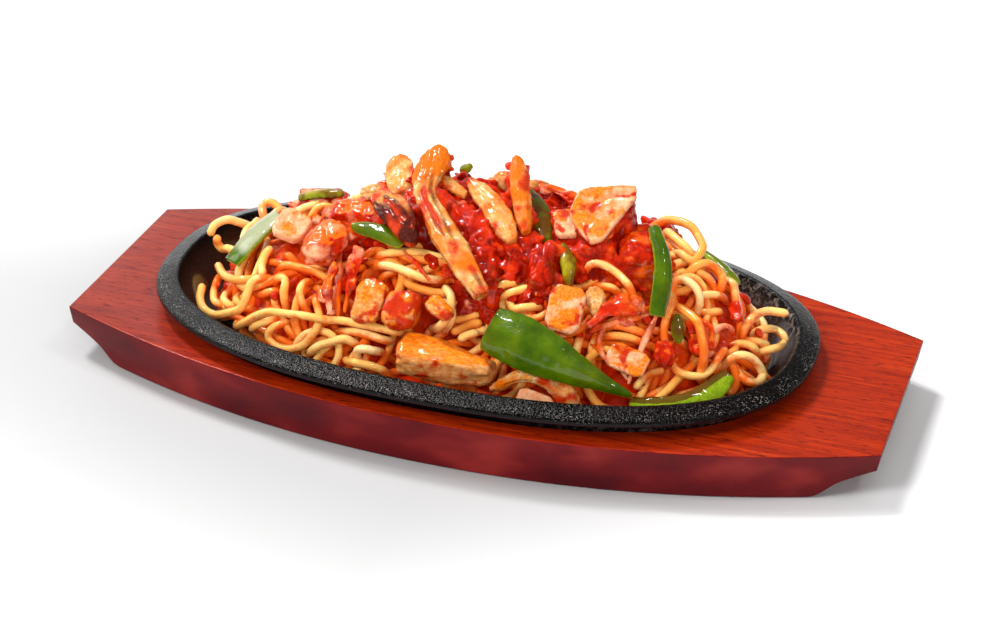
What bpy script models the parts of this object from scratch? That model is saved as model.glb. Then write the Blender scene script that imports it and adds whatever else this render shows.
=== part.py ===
"""Spaghetti napolitan on an oval cast-iron plate, seated in its wooden underliner board.

Metres, +Z up. The origin is the middle of the board's flat underside, +X runs along the board,
and the heap is seen from -Y. Toppings are laid out in millimetres, by the points they pass through.
"""

import math
import random

import bmesh
import bpy
import numpy as np
from mathutils import Matrix, Vector, noise
from mathutils.bvhtree import BVHTree

MM = 0.001
GAP = 0.4 * MM  # kept between neighbouring pieces

# Underliner board: straight ends, bowed sides, an oval recess and a finger cove under each end
BOARD_LENGTH = 300 * MM
BOARD_MIDDLE_WIDTH = 161 * MM
BOARD_END_WIDTH = 91 * MM
BOARD_THICKNESS = 18 * MM
BOARD_BOW = 2.1  # power of the curve that the sides follow
BOARD_DRAFT = 2.7 * MM  # the sides lean in this far towards the underside
BOARD_EDGE = 0.8 * MM
COVE_START = 126 * MM
COVE_PROFILE = ((0, 0), (4, 0.8), (7, 3.2), (10, 6.0), (15, 8.3), (24, 11.5))  # mm out, mm up

# Cast-iron plate: an oval bowl with a broad rim that slopes down outwards
PLATE_HALF_LENGTH = 122.5 * MM
PLATE_HALF_WIDTH = 79.3 * MM
PLATE_OVAL = 2.35  # exponent of the superellipse
PLATE_CENTRE = (-4.7 * MM, -1.0 * MM)
RECESS_INSET = 8 * MM  # recess outline inside the plate's outline
RECESS_FLOOR = 5.6 * MM
# the plate's profile, each point mm inside its outline and mm up
PLATE_OUTSIDE = ((22, 6.0), (18.5, 6.4), (14.5, 9.4), (9.8, 16.5), (7.6, 22.4), (1.0, 23.6))
PLATE_RIM = ((0.0, 24.3), (0.0, 25.7), (0.6, 26.3), (7.2, 28.6), (8.0, 28.3))
PLATE_INSIDE = ((12.0, 18.0), (15.0, 13.4), (18.5, 11.0), (25.0, 10.0))
PLATE_STEPS = 48

# Heap of spaghetti
NOODLE_RADIUS = 1.6 * MM
HEAP_CENTRE = (-3.0 * MM, 0.0)
HEAP_HALF_LENGTH = 109 * MM
HEAP_FRONT = 62 * MM
HEAP_BACK = 57 * MM
HEAP_HEIGHT = 54 * MM
HEAP_FULLNESS = 3.0
HEAP_LEAN = 0.06  # the heap is this much higher at its right end
HEAP_OVAL = 2.2
CORE_DEPTH = 3.4 * MM  # the core's surface below the noodles that lie on it
CORE_CELLS = (30, 18)
CORE_REACH = 1.5 * MM  # how far beside a topping the core still stays below it
CORE_PASSES = 8
CORE_FOOT = (0.985, 0.9)  # the core's underside draws in to these shares of its outline
NOODLE_SPACING = 5.0 * MM
NOODLE_SIDES = 5
NOODLE_APART = 4.2 * MM  # a noodle laid nearer than this to another counts as crowded
NOODLE_RISE = 2.0 * MM  # middle of a noodle above the core's surface
NOODLE_CROWDED = 0.3  # share of a noodle that may be crowded
NOODLE_CURL = 45.0  # most that a noodle turns, in radians per metre
NOODLE_SWAY = 0.25  # how far that turn changes from one station to the next
NOODLE_TURN_BACK = 0.88  # share of the way to the heap's foot at which a noodle turns back
NOODLE_LENGTHS = (80 * MM, 120 * MM)
NOODLE_FEWEST = 5  # stations of the shortest noodle that is kept
NOODLE_TUCK = (2.6 * MM, 1.2 * MM)  # how far its end and the station beside it sink in
NOODLE_SEED = 12
NOODLE_TRIANGLES = 2350
# share of the heap's half-length and how many noodles start there
NOODLE_RINGS = ((0.9, 90), (0.8, 80), (0.68, 60), (0.5, 40))
SHOWN_NOODLES = (  # plan routes in mm of the noodles that show most
    ((-90, -40), (-79, -44), (-67, -47), (-46, -52), (-29, -54), (-12, -55)),
    ((70, -14), (68, -26), (69, -34), (74, -39), (81, -37), (86, -32), (88, -25), (88, -18)),
    ((-106, -22), (-103, -32), (-97, -36), (-82, -41)),
    ((-66, -54), (-60, -58), (-52, -58), (-46, -56), (-36, -58), (-26, -59)),
    ((-37, -39), (-17, -42), (-5, -44)),
    ((54, 22), (60, 19), (66, 16), (72, 8), (74, 0)),
    ((-81, -30), (-85, -34), (-88, -38), (-92, -42)),
    ((84, 8), (86, -1), (90, -10), (92, -16)),
    ((86, -26), (93, -20), (98, -14), (101, -10), (100, -2)),
)

# Toppings
SLICE_CORNER = 0.16  # share of each side that a slice's rounded corner takes
STRIP_TAPER = 0.35  # share of its width that a strip loses towards its ends
STRIP_TAPER_LENGTH = 0.25  # share of the strip's half-length over which it does
NUDGE = 0.5 * MM  # a topping that touches another is moved in such steps until it is clear
NUDGE_STEPS = 40
NUDGE_WAYS = 12

COLOURS = {
    "wood": ((0.36, 0.06, 0.03), 0.45, 0.0),
    "iron": ((0.02, 0.02, 0.022), 0.5, 0.8),
    "noodle": ((0.86, 0.45, 0.14), 0.4, 0.0),
    "pepper": ((0.05, 0.2, 0.02), 0.25, 0.0),
    "mushroom": ((0.75, 0.42, 0.15), 0.4, 0.0),
    "ham": ((0.8, 0.33, 0.16), 0.4, 0.0),
    "chicken": ((0.85, 0.45, 0.18), 0.4, 0.0),
    "tomato": ((0.65, 0.03, 0.02), 0.25, 0.0),
}


def material(kind):
    """The Principled material of one kind of food or dish."""
    made = bpy.data.materials.get(kind) or bpy.data.materials.new(kind)
    made.use_nodes = True
    colour, roughness, metallic = COLOURS[kind]
    shader = made.node_tree.nodes["Principled BSDF"]
    shader.inputs["Base Color"].default_value = (*colour, 1.0)
    shader.inputs["Roughness"].default_value = roughness
    shader.inputs["Metallic"].default_value = metallic
    made.diffuse_color = (*colour, 1.0)
    return made


def object_from(bm, name, kind):
    """Turns a bmesh into a named object with its faces pointing out."""
    bmesh.ops.recalc_face_normals(bm, faces=bm.faces)
    mesh = bpy.data.meshes.new(name)
    bm.to_mesh(mesh)
    bm.free()
    mesh.shade_smooth()
    mesh.set_sharp_from_angle(angle=math.radians(50))
    mesh.materials.append(material(kind))
    made = bpy.data.objects.new(name, mesh)
    bpy.context.scene.collection.objects.link(made)
    return made


def loft(rings, first_tip=None, last_tip=None):
    """A closed skin over rings of equal length, its ends drawn together at a tip or closed flat."""
    bm = bmesh.new()
    loops = [[bm.verts.new(point) for point in ring] for ring in rings]
    count = len(rings[0])
    for near, far in zip(loops, loops[1:]):
        for i in range(count):
            j = (i + 1) % count
            bm.faces.new((near[i], near[j], far[j], far[i]))
    for loop, tip in ((loops[0], first_tip), (loops[-1], last_tip)):
        if tip is None:
            bm.faces.new(loop)
            continue
        point = bm.verts.new(tip)
        for i in range(count):
            bm.faces.new((loop[i], loop[(i + 1) % count], point))
    return bm


# ---------------------------------------------------------------- board and plate


def board_outline(inset, height, steps=20):
    """The board's outline, moved in by inset, as points at one height."""
    half_length = BOARD_LENGTH / 2 - inset
    points = []
    for side in (-1, 1):
        for step in range(steps + 1):
            along = 2 * step / steps - 1
            bow = 1 - abs(along) ** BOARD_BOW
            half_width = (BOARD_END_WIDTH + (BOARD_MIDDLE_WIDTH - BOARD_END_WIDTH) * bow) / 2
            points.append(Vector((-side * along * half_length, side * (half_width - inset), height)))
    return points


def oval(half_length, half_width, height, centre=PLATE_CENTRE, steps=PLATE_STEPS):
    """A superellipse with the plate's roundness."""
    points = []
    for step in range(steps):
        angle = math.tau * step / steps
        across, up = math.cos(angle), math.sin(angle)
        x = math.copysign(abs(across) ** (2 / PLATE_OVAL), across) * half_length
        y = math.copysign(abs(up) ** (2 / PLATE_OVAL), up) * half_width
        points.append(Vector((centre[0] + x, centre[1] + y, height)))
    return points


def cutter(bm, name):
    """A hidden helper that a Boolean takes away."""
    made = object_from(bm, name, "wood")
    made.hide_render = True
    made.display_type = "WIRE"
    return made


def take_away(target, tool):
    modifier = target.modifiers.new(tool.name, "BOOLEAN")
    modifier.operation = "DIFFERENCE"
    modifier.object = tool


def make_board():
    """The board's drafted body, less the recess for the plate and the coves under its ends."""
    levels = (
        (BOARD_DRAFT + BOARD_EDGE, 0.0),
        (BOARD_DRAFT, BOARD_EDGE),
        (0.0, BOARD_THICKNESS - BOARD_EDGE),
        (BOARD_EDGE, BOARD_THICKNESS),
    )
    board = object_from(loft([board_outline(*level) for level in levels]), "underliner_board", "wood")
    size = (PLATE_HALF_LENGTH - RECESS_INSET, PLATE_HALF_WIDTH - RECESS_INSET)
    recess = loft([oval(*size, RECESS_FLOOR), oval(*size, 2 * BOARD_THICKNESS)])
    take_away(board, cutter(recess, "recess_cutter"))
    outside = COVE_START + 60 * MM
    for side, name in ((-1, "left_cove_cutter"), (1, "right_cove_cutter")):
        profile = [(COVE_START + out * MM, up * MM) for out, up in COVE_PROFILE]
        profile += [(outside, profile[-1][1] + 2 * MM), (outside, -10 * MM), (COVE_START, -10 * MM)]
        ends = [[Vector((side * x, y, z)) for x, z in profile] for y in (-120 * MM, 120 * MM)]
        take_away(board, cutter(loft(ends), name))
    return board


def make_plate():
    """The plate as one skin from the middle of its underside, round the rim, to its inner floor."""
    levels = PLATE_OUTSIDE + PLATE_RIM + PLATE_INSIDE
    rings = [
        oval(PLATE_HALF_LENGTH - inset * MM, PLATE_HALF_WIDTH - inset * MM, up * MM)
        for inset, up in levels
    ]
    under = Vector((*PLATE_CENTRE, levels[0][1] * MM))
    floor = Vector((*PLATE_CENTRE, levels[-1][1] * MM))
    return object_from(loft(rings, under, floor), "iron_plate", "iron")


def bowl_height(x, y):
    """Height of the plate's inner surface at a place inside the rim."""
    x, y = abs(x - PLATE_CENTRE[0]), abs(y - PLATE_CENTRE[1])
    low, high = 0.0, PLATE_HALF_WIDTH - 1 * MM
    for _ in range(24):
        inset = (low + high) / 2
        reach = (x / (PLATE_HALF_LENGTH - inset)) ** PLATE_OVAL
        reach += (y / (PLATE_HALF_WIDTH - inset)) ** PLATE_OVAL
        low, high = (low, inset) if reach > 1 else (inset, high)
    profile = (PLATE_RIM[-1],) + PLATE_INSIDE
    return float(np.interp(inset / MM, [p[0] for p in profile], [p[1] for p in profile])) * MM


# ---------------------------------------------------------------- toppings


def smooth_route(points, count):
    """Count points on a Catmull-Rom curve through the given ones, evenly spaced by parameter."""
    points = [Vector(p) * MM for p in points]
    if len(points) == 2:
        points.insert(1, (points[0] + points[1]) / 2)
    padded = [2 * points[0] - points[1]] + points + [2 * points[-1] - points[-2]]
    route = []
    for step in range(count):
        place = step * (len(points) - 1) / (count - 1)
        i = min(int(place), len(points) - 2)
        t = place - i
        a, b, c, d = padded[i : i + 4]
        route.append(
            0.5 * (2 * b + (c - a) * t + (2 * a - 5 * b + 4 * c - d) * t**2
                   + (3 * b - a - 3 * c + d) * t**3)
        )
    return route


def along_list(values, share):
    """A width or thickness at a share of the length, from a number or a few numbers."""
    if not isinstance(values, tuple):
        return values
    places = np.linspace(0, 1, len(values))
    return float(np.interp(share, places, values))


def pepper_section(width, thick, crown):
    """The wall of a pepper: skin bowed outwards, inner side following it."""
    skin = [(t * width / 2, crown * (1 - t * t)) for t in (-1, -0.55, 0, 0.55, 1)]
    inner = [(t * width / 2, crown * (1 - t * t) - thick) for t in (0.94, 0.45, -0.45, -0.94)]
    return skin + inner


def oval_section(width, thick, crown):
    """A soft round section, its upper side fuller by crown."""
    points = []
    for step in range(8):
        angle = math.tau * (step + 0.5) / 8
        up = math.sin(angle) * thick / 2
        points.append((-math.cos(angle) * width / 2, up + (crown if up > 0 else 0)))
    return points


def strip(name, kind, path, width, thick, face, crown=0.0, section=oval_section, stations=7):
    """A long piece swept along a path, broad side towards face; sizes in mm."""
    route = smooth_route(path, stations)
    rings = []
    for i, point in enumerate(route):
        ahead = route[min(i + 1, stations - 1)] - route[max(i - 1, 0)]
        ahead.normalize()
        side = ahead.cross(Vector(face)).normalized()
        up = side.cross(ahead)
        share = i / (stations - 1)
        ending = max(0.0, abs(2 * share - 1) - 1 + STRIP_TAPER_LENGTH) / STRIP_TAPER_LENGTH
        outline = section(
            along_list(width, share) * (1 - STRIP_TAPER * ending),
            along_list(thick, share),
            along_list(crown, share),
        )
        rings.append([point + (side * a + up * b) * MM for a, b in outline])
    tips = [sum(ring, Vector()) / len(ring) for ring in (rings[0], rings[-1])]
    return object_from(loft(rings, *tips), name, kind)


def pose(at, heading, slope, roll):
    """Where a piece lies: its place in mm and its turns in degrees."""
    turn = Matrix.Rotation(math.radians(heading), 4, "Z")
    turn @= Matrix.Rotation(-math.radians(slope), 4, "Y")
    turn @= Matrix.Rotation(math.radians(roll), 4, "X")
    return Matrix.Translation(Vector(at) * MM) @ turn


def slab(name, kind, corners, thick, at, heading=0, slope=0, roll=0, bend=0.0):
    """A cut slice with the given corners, soft at its edges, bent along its length; sizes in mm."""
    count = len(corners)
    outline = []
    for i, corner in enumerate(corners):
        here = Vector(corner)
        before, after = Vector(corners[i - 1]), Vector(corners[(i + 1) % count])
        outline += [here.lerp(before, SLICE_CORNER), here.lerp(after, SLICE_CORNER)]
    middle = sum(outline, Vector((0, 0))) / len(outline)
    reach = max((p - middle).length for p in outline)

    def ring(share, up):
        placed = [middle.lerp(p, share) for p in outline]
        bends = [bend * ((p - middle).length / reach) ** 2 for p in placed]
        return [Vector((p.x, p.y, up * thick + lift)) for p, lift in zip(placed, bends)]

    levels = ((0.5, -0.5), (0.93, -0.5), (1.0, -0.25), (1.0, 0.25), (0.93, 0.5), (0.5, 0.5))
    bm = loft(
        [ring(*level) for level in levels],
        Vector((*middle, -0.5 * thick)),
        Vector((*middle, 0.5 * thick)),
    )
    bm.transform(pose(at, heading, slope, roll) @ Matrix.Scale(MM, 4))
    return object_from(bm, name, kind)


def chunk(name, kind, size, at, heading=0, slope=0, roll=0, lump=0.12, box=0.35, fine=2):
    """A lumpy torn piece: a ball drawn towards a box by box, dented by lump; sizes in mm."""
    bm = bmesh.new()
    bmesh.ops.create_icosphere(bm, subdivisions=fine, radius=1.0)
    offset = Vector(at) * 0.37
    for vert in bm.verts:
        point = vert.co.copy()
        squared = point / max(abs(point.x), abs(point.y), abs(point.z))
        point = point.lerp(squared, box) * (1 + lump * noise.noise(point * 1.7 + offset) * 2)
        vert.co = Vector(a * b / 2 for a, b in zip(point, size))
    bm.transform(pose(at, heading, slope, roll) @ Matrix.Scale(MM, 4))
    return object_from(bm, name, kind)


def pepper(name, path, width, face, crown=1.0, thick=2.4, stations=7):
    return strip(name, "pepper", path, width, thick, face, crown, pepper_section, stations)


def make_tomatoes():
    return [
        chunk("tomato_middle_back", "tomato", (27, 19, 9), (-11, -10, 62), -60, -10, 5),
        chunk("tomato_middle_front", "tomato", (15, 12, 9), (3, -34, 56), -60, -28, 10),
        chunk("tomato_middle", "tomato", (19, 15, 9), (7, -19, 60), -60, -18, 0),
        chunk("tomato_middle_right", "tomato", (20, 10, 9), (22, -29, 58), -77, -30, 0),
        chunk("tomato_left", "tomato", (19, 17, 11), (-57, -28, 53), -96, -28, 0),
        strip("tomato_left_string", "tomato", [(-51, -35, 50), (-50, -44, 44), (-47, -51, 37)], 4, 2.4,
              (-0.2, -0.7, 0.7)),
        strip("tomato_left_skin", "tomato", [(-44, -32, 55), (-43, -38, 51), (-42, -44, 44)],
              (5, 7, 4), 2,
              (0, -0.6, 0.8), stations=6),
        chunk("tomato_back_left", "tomato", (27, 12, 7), (-53, -11, 58), -18, 12, 15),
        chunk("tomato_right", "tomato", (20, 16, 12), (53, -8, 61), -65, -20, 10),
        strip("tomato_top", "tomato", [(8, 18, 66), (17, 16, 67), (27, 12, 66)], 7, 4, (0, 0, 1)),
        strip("tomato_flap", "tomato", [(61, -29, 50), (52, -34, 51), (44, -43, 46)], (9, 8, 4), 2.6,
              (0.2, -0.6, 0.8)),
        chunk("tomato_low_right", "tomato", (16, 12, 6), (80, -24, 40), -64, -40, 0),
        chunk("tomato_under_loop", "tomato", (13, 10, 6), (71, -37, 37), -60, -40, 10),
        chunk("tomato_far_right", "tomato", (12, 7, 6), (88, -5, 42), -60, -20, 20),
        chunk("tomato_front", "tomato", (14, 7, 6), (-1, -63, 20), 5, 0, 30),
        chunk("tomato_rear", "tomato", (18, 14, 8), (-33, 27, 56), 30, 0, -28),
        chunk("tomato_rear_right", "tomato", (17, 13, 8), (52, 30, 51), -20, -5, -30),
    ]


def make_meats():
    square = ((-7, -6), (7, -6), (7, 6), (-7, 6))
    return [
        slab("ham_left", "ham", ((-8, -6), (6, -7), (8, 5), (-5, 7)), 3.2, (-74, -17, 51),
             -91, -20, -5, 0.8),
        slab("ham_fold_small", "ham", ((-7, -4), (6, -5), (7, 3), (-6, 5)), 3, (26, -9, 66),
             -60, -20, 10, 1.0),
        slab("ham_fold", "ham", ((-9, 9), (-12, -3), (0, -16), (14, 12)), 3, (38, -7, 70), 5, 0, 38, 2.0),
        slab("ham_square", "ham", ((-9, -6), (8, -6), (9, 6), (-8, 7)), 2.6, (35, -41, 50),
             -87, -43, 0, -0.8),
        slab("ham_low", "ham", ((-8, -4), (7, -5), (8, 4), (-6, 5)), 2.6, (59, -44, 36), 6, -15, 50, 0.5),
        slab("ham_front", "ham", ((-7, -4), (6, -5), (7, 4), (-6, 5)), 2.4, (31, -60, 21),
             3, -10, 60, 0.4),
        chunk("chicken_front", "chicken", (35, 16, 12), (-3, -53, 29), 3, 2, 20, 0.05, 0.8, 3),
        chunk("chicken_left", "chicken", (17, 12, 7), (-37, -46, 42), -94, -46, 0, 0.1, 0.6),
        chunk("chicken_middle", "chicken", (14, 12, 8), (-22, -48, 42), -87, -50, 0, 0.1, 0.6),
        chunk("chicken_small", "chicken", (11, 7, 5), (-8, -47, 44), -25, -20, 35, 0.1, 0.5),
        chunk("chicken_bit_top", "chicken", (8, 6, 7), (-2, 8, 71), 0, 0, 0, 0.1, 0.5),
        slab("ham_rear", "ham", square, 3, (-8, 31, 59), 15, 0, -28, 1.0),
        chunk("chicken_rear", "chicken", (20, 13, 8), (22, 36, 53), -20, 0, -35, 0.08, 0.7),
        slab("ham_rear_left", "ham", square, 3, (-76, 18, 49), 60, -15, -20, 0.8),
    ]


def make_peppers():
    return [
        pepper("pepper_front", [(12, -50, 43), (28, -53, 40), (45, -53, 34), (64, -49, 26)],
               (16, 19, 17, 11, 3), (0.05, -0.8, 0.6), (3, 5, 5, 3, 0.5), 2.6, 12),
        pepper("pepper_front_curl",
               [(64, -51, 23), (72, -53, 22), (82, -49, 23), (89, -41, 25), (94, -31, 29)],
               (5, 9, 9, 9, 8), (0.3, -0.8, 0.55), 1.0, 3.0, 12),
        pepper("pepper_left", [(-81, -11, 52), (-87, -19, 47), (-93, -28, 38)], (8, 9, 7),
               (-0.5, -0.4, 0.8), 0.8),
        pepper("pepper_back_left", [(-80, 5, 53), (-71, 4, 57), (-62, 2, 59)], (4, 6, 5), (-0.2, 0.2, 1)),
        pepper("pepper_top_left", [(-51, -23, 59), (-40, -26, 60), (-30, -30, 58)], (5, 7, 4),
               (-0.1, -0.5, 0.85)),
        pepper("pepper_dark_top", [(9, 8, 69), (16, -3, 68), (23, -17, 63)], (6, 8, 6), (0.2, -0.2, 1)),
        pepper("pepper_yellow", [(27, -17, 63), (31, -24, 60), (34, -32, 54)], (3, 6, 3),
               (0.2, -0.5, 0.9)),
        pepper("pepper_right", [(57, -6, 69), (64, -18, 61), (66, -31, 47)], (5, 9, 10, 5),
               (0.45, -0.45, 0.8), 1.5),
        pepper("pepper_small_right", [(72, -25, 46), (75, -33, 39)], (4, 5, 3), (0.4, -0.5, 0.75),
               0.5, 2, 6),
        pepper("pepper_bit_top", [(-19, 7, 74), (-15, 6, 76)], 4, (0, -0.3, 1), 0.4, 2.2, 5),
        pepper("pepper_rear", [(-62, 30, 49), (-50, 36, 47), (-36, 41, 45)], (6, 10, 5),
               (-0.1, 0.6, 0.8), 1.5),
        pepper("pepper_rear_right", [(66, 34, 45), (76, 28, 43), (84, 18, 42)], (5, 8, 5),
               (0.4, 0.5, 0.8), 1.2),
    ]


def make_mushrooms():
    return [
        strip("mushroom_long", "mushroom",
              [(-23, 6, 80), (-24, 0, 76), (-24, -12, 71), (-17, -21, 67), (-8, -31, 62), (9, -46, 51)],
              (8, 13, 12, 8, 8, 10, 11, 9), (5, 6, 4, 4, 5, 6, 5), (-0.1, -0.6, 0.8), 0.5, stations=13),
        strip("mushroom_brown", "mushroom", [(-43, -14, 67), (-33, -22, 66), (-23, -33, 60)],
              (8, 12, 11, 6),
              (4, 5, 3), (-0.1, -0.4, 0.9), 0.8),
        strip("mushroom_pale", "mushroom", [(-43, 8, 73), (-39, -1, 71), (-36, -9, 67)], (9, 12, 9), 4,
              (-0.2, -0.3, 0.9), 0.5, stations=7),
        chunk("mushroom_button", "mushroom", (10, 8, 5), (-49, -2, 63), -26, 9, 0, 0.08, 0.1),
        strip("mushroom_leaf", "mushroom", [(-13, -1, 72), (0, -13, 69), (11, -26, 63)], (5, 9, 10, 6),
              (3, 4, 4, 3), (0, -0.4, 0.9), 0.5),
        strip("mushroom_stick", "mushroom", [(2, 6, 82), (8, -8, 74), (14, -21, 66)], (6, 8, 7, 5),
              (4, 5, 5, 4),
              (0.2, -0.5, 0.8)),
        strip("mushroom_crescent", "mushroom", [(-25, -3, 73), (-17, -5, 73), (-8, -9, 71)], (3, 7, 4), 3,
              (0, -0.3, 1), stations=7),
        strip("mushroom_cap_small", "mushroom", [(42, -31, 54), (44, -34, 51), (46, -38, 46)],
              (6, 8, 3), (4, 4, 3),
              (0.2, -0.5, 0.85), stations=6),
        strip("mushroom_front", "mushroom",
              [(13, -60, 22), (21, -60, 28), (29, -58, 29), (38, -57, 24), (43, -58, 20)],
              (4, 5, 5, 5, 9, 7), (4, 5, 5, 5, 6, 5), (0, -0.8, 0.6), stations=11),
        strip("mushroom_rear", "mushroom", [(-2, 17, 66), (6, 28, 62), (8, 40, 54)], (10, 7, 6, 7),
              (4, 4, 5, 4),
              (0.1, 0.5, 0.85)),
    ]


def tree_of(obj, swollen=0.0):
    """The object's faces as a search tree, each corner first pushed out along its normal."""
    bm = bmesh.new()
    bm.from_mesh(obj.data)
    bm.normal_update()
    for vert in bm.verts:
        vert.co += vert.normal * swollen
    tree = BVHTree.FromBMesh(bm)
    bm.free()
    return tree


def nudges():
    """Small moves to try, shortest first: none, then up and sideways."""
    moves = [Vector()]
    for step in range(1, NUDGE_STEPS):
        moves.append(Vector((0, 0, step * NUDGE)))
        for lean in (0.0, 0.7):
            for turn in range(NUDGE_WAYS):
                angle = math.tau * turn / NUDGE_WAYS
                way = Vector((math.cos(angle), math.sin(angle), lean)).normalized()
                moves.append(way * step * NUDGE)
    return moves


def settle(pieces, still):
    """Moves each piece in turn to the nearest place clear of those laid before it."""
    laid = [tree_of(piece) for piece in still]
    moves = nudges()
    for piece in pieces:
        for move in moves:
            piece.data.transform(Matrix.Translation(move))
            swollen = tree_of(piece, GAP)
            if not any(swollen.overlap(tree) for tree in laid):
                break
            piece.data.transform(Matrix.Translation(-move))
        laid.append(tree_of(piece))


# ---------------------------------------------------------------- heap of noodles


def heap_share(x, y):
    """0 in the middle of the heap, 1 at its foot."""
    half_width = HEAP_FRONT if y < HEAP_CENTRE[1] else HEAP_BACK
    across = abs((x - HEAP_CENTRE[0]) / HEAP_HALF_LENGTH) ** HEAP_OVAL
    return (across + abs((y - HEAP_CENTRE[1]) / half_width) ** HEAP_OVAL) ** (1 / HEAP_OVAL)


def heap_height(x, y):
    """Height of the noodles' upper side."""
    share = min(1.0, heap_share(x, y))
    floor = PLATE_INSIDE[-1][1] * MM
    lean = 1 + HEAP_LEAN * (x - HEAP_CENTRE[0]) / HEAP_HALF_LENGTH
    uneven = 1.6 * MM * noise.noise(Vector((x, y, 0)) * 55)
    return floor + (HEAP_HEIGHT * lean + uneven) * math.sqrt(1 - share**HEAP_FULLNESS)


class Ceiling:
    """How high the noodles may reach under the toppings, on a fine grid."""

    step = 1.5 * MM
    shape = (160, 108)
    low = Vector((-125 * MM, -80 * MM))
    open_air = 1.0  # stands for a height where nothing lies above

    def __init__(self, toppings):
        joined = bmesh.new()
        for piece in toppings:
            joined.from_mesh(piece.data)
        tree = BVHTree.FromBMesh(joined)
        joined.free()
        self.height = np.full(self.shape, self.open_air)
        for i in range(self.shape[0]):
            for j in range(self.shape[1]):
                hit = tree.ray_cast(Vector((*self.place(i, j), 0)), Vector((0, 0, 1)))[0]
                if hit is not None:
                    self.height[i, j] = hit.z

    def place(self, i, j):
        return self.low.x + i * self.step, self.low.y + j * self.step

    def within(self, reach):
        """The lowest underside within reach of every cell, as a function of place."""
        cells = math.ceil(reach / self.step)
        padded = np.pad(self.height, cells, constant_values=self.open_air)
        lowest = self.height.copy()
        for i in range(-cells, cells + 1):
            for j in range(-cells, cells + 1):
                if i * i + j * j <= (reach / self.step + 0.5) ** 2:
                    part = padded[cells + i :, cells + j :][: self.shape[0], : self.shape[1]]
                    lowest = np.minimum(lowest, part)

        def look(x, y):
            i = int(np.clip(round((x - self.low.x) / self.step), 0, self.shape[0] - 1))
            j = int(np.clip(round((y - self.low.y) / self.step), 0, self.shape[1] - 1))
            return float(lowest[i, j])

        return look


def press_down(bm, ceiling, limit):
    """Lowers the corners of every face that reaches above the limit under a topping."""
    places = [ceiling.place(i, j) for i, j in np.argwhere(ceiling.height < ceiling.open_air)]
    for _ in range(CORE_PASSES):
        bm.faces.ensure_lookup_table()
        tree = BVHTree.FromBMesh(bm)
        drops = {}
        for x, y in places:
            hit, _, index, _ = tree.ray_cast(Vector((x, y, 1)), Vector((0, 0, -1)))
            if hit is None or hit.z < limit(x, y) - GAP:
                continue
            for vert in bm.faces[index].verts:
                drops[vert] = max(drops.get(vert, 0.0), hit.z - limit(x, y) + 2 * GAP)
        for vert, drop in drops.items():
            lowest = bowl_height(vert.co.x, vert.co.y) + 3 * GAP
            vert.co.z = max(vert.co.z - drop, lowest)


def make_core(ceiling):
    """The heap without its outer noodles: bumpy on top, following the bowl below."""
    columns, rows = CORE_CELLS
    limit = ceiling.within(CORE_REACH)
    bm = bmesh.new()
    grid = {}
    for i in range(columns + 1):
        for j in range(rows + 1):
            u, v = 2 * i / columns - 1, 2 * j / rows - 1
            half_width = HEAP_FRONT if v < 0 else HEAP_BACK
            x = HEAP_CENTRE[0] + HEAP_HALF_LENGTH * u * math.sqrt(1 - v * v / 2)
            y = HEAP_CENTRE[1] + half_width * v * math.sqrt(1 - u * u / 2)
            top = max(heap_height(x, y) - CORE_DEPTH, bowl_height(x, y) + 3 * GAP)
            grid[i, j] = bm.verts.new((x, y, top))
    for i in range(columns):
        for j in range(rows):
            bm.faces.new((grid[i, j], grid[i + 1, j], grid[i + 1, j + 1], grid[i, j + 1]))
    bmesh.ops.triangulate(bm, faces=bm.faces)
    press_down(bm, ceiling, limit)
    edge = [grid[i, 0] for i in range(columns)] + [grid[columns, j] for j in range(rows)]
    edge += [grid[i, rows] for i in range(columns, 0, -1)] + [grid[0, j] for j in range(rows, 0, -1)]
    middle = Vector((*HEAP_CENTRE, 0))
    loops = [edge]
    for share in CORE_FOOT:
        loop = []
        for vert in edge:
            place = middle.lerp(vert.co, share)
            loop.append(bm.verts.new((place.x, place.y, bowl_height(place.x, place.y) + GAP)))
        loops.append(loop)
    for upper, lower in zip(loops, loops[1:]):
        for i in range(len(edge)):
            j = (i + 1) % len(edge)
            bm.faces.new((upper[j], upper[i], lower[i], lower[j]))
    under = bm.verts.new((*HEAP_CENTRE, PLATE_INSIDE[-1][1] * MM + GAP))
    for i in range(len(edge)):
        bm.faces.new((loops[-1][(i + 1) % len(edge)], loops[-1][i], under))
    return object_from(bm, "noodles", "noodle")


def plan_route(points, spacing):
    """A smooth line through points in plan, as evenly spaced places."""
    fine = smooth_route([(*p, 0) for p in points], 12 * len(points))
    places = [fine[0]]
    for point in fine:
        while (point - places[-1]).length > spacing:
            places.append(places[-1] + (point - places[-1]).normalized() * spacing)
    return [(p.x, p.y) for p in places]


def wandering(rng, start, heading, length, spacing):
    """A noodle's plan: it wanders, and turns back where it nears the foot of the heap."""
    x, y = start
    places = [(x, y)]
    turn = rng.uniform(-1, 1) * NOODLE_CURL
    for _ in range(int(length / spacing)):
        turn += rng.uniform(-1, 1) * NOODLE_SWAY * NOODLE_CURL
        turn = max(-NOODLE_CURL, min(NOODLE_CURL, turn))
        if heap_share(x, y) > NOODLE_TURN_BACK:
            inward = math.atan2(HEAP_CENTRE[1] - y, HEAP_CENTRE[0] - x)
            off = (inward - heading + math.pi) % math.tau - math.pi
            turn = math.copysign(2 * NOODLE_CURL, off)
        heading += turn * spacing
        x, y = x + spacing * math.cos(heading), y + spacing * math.sin(heading)
        places.append((x, y))
    return places


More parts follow.
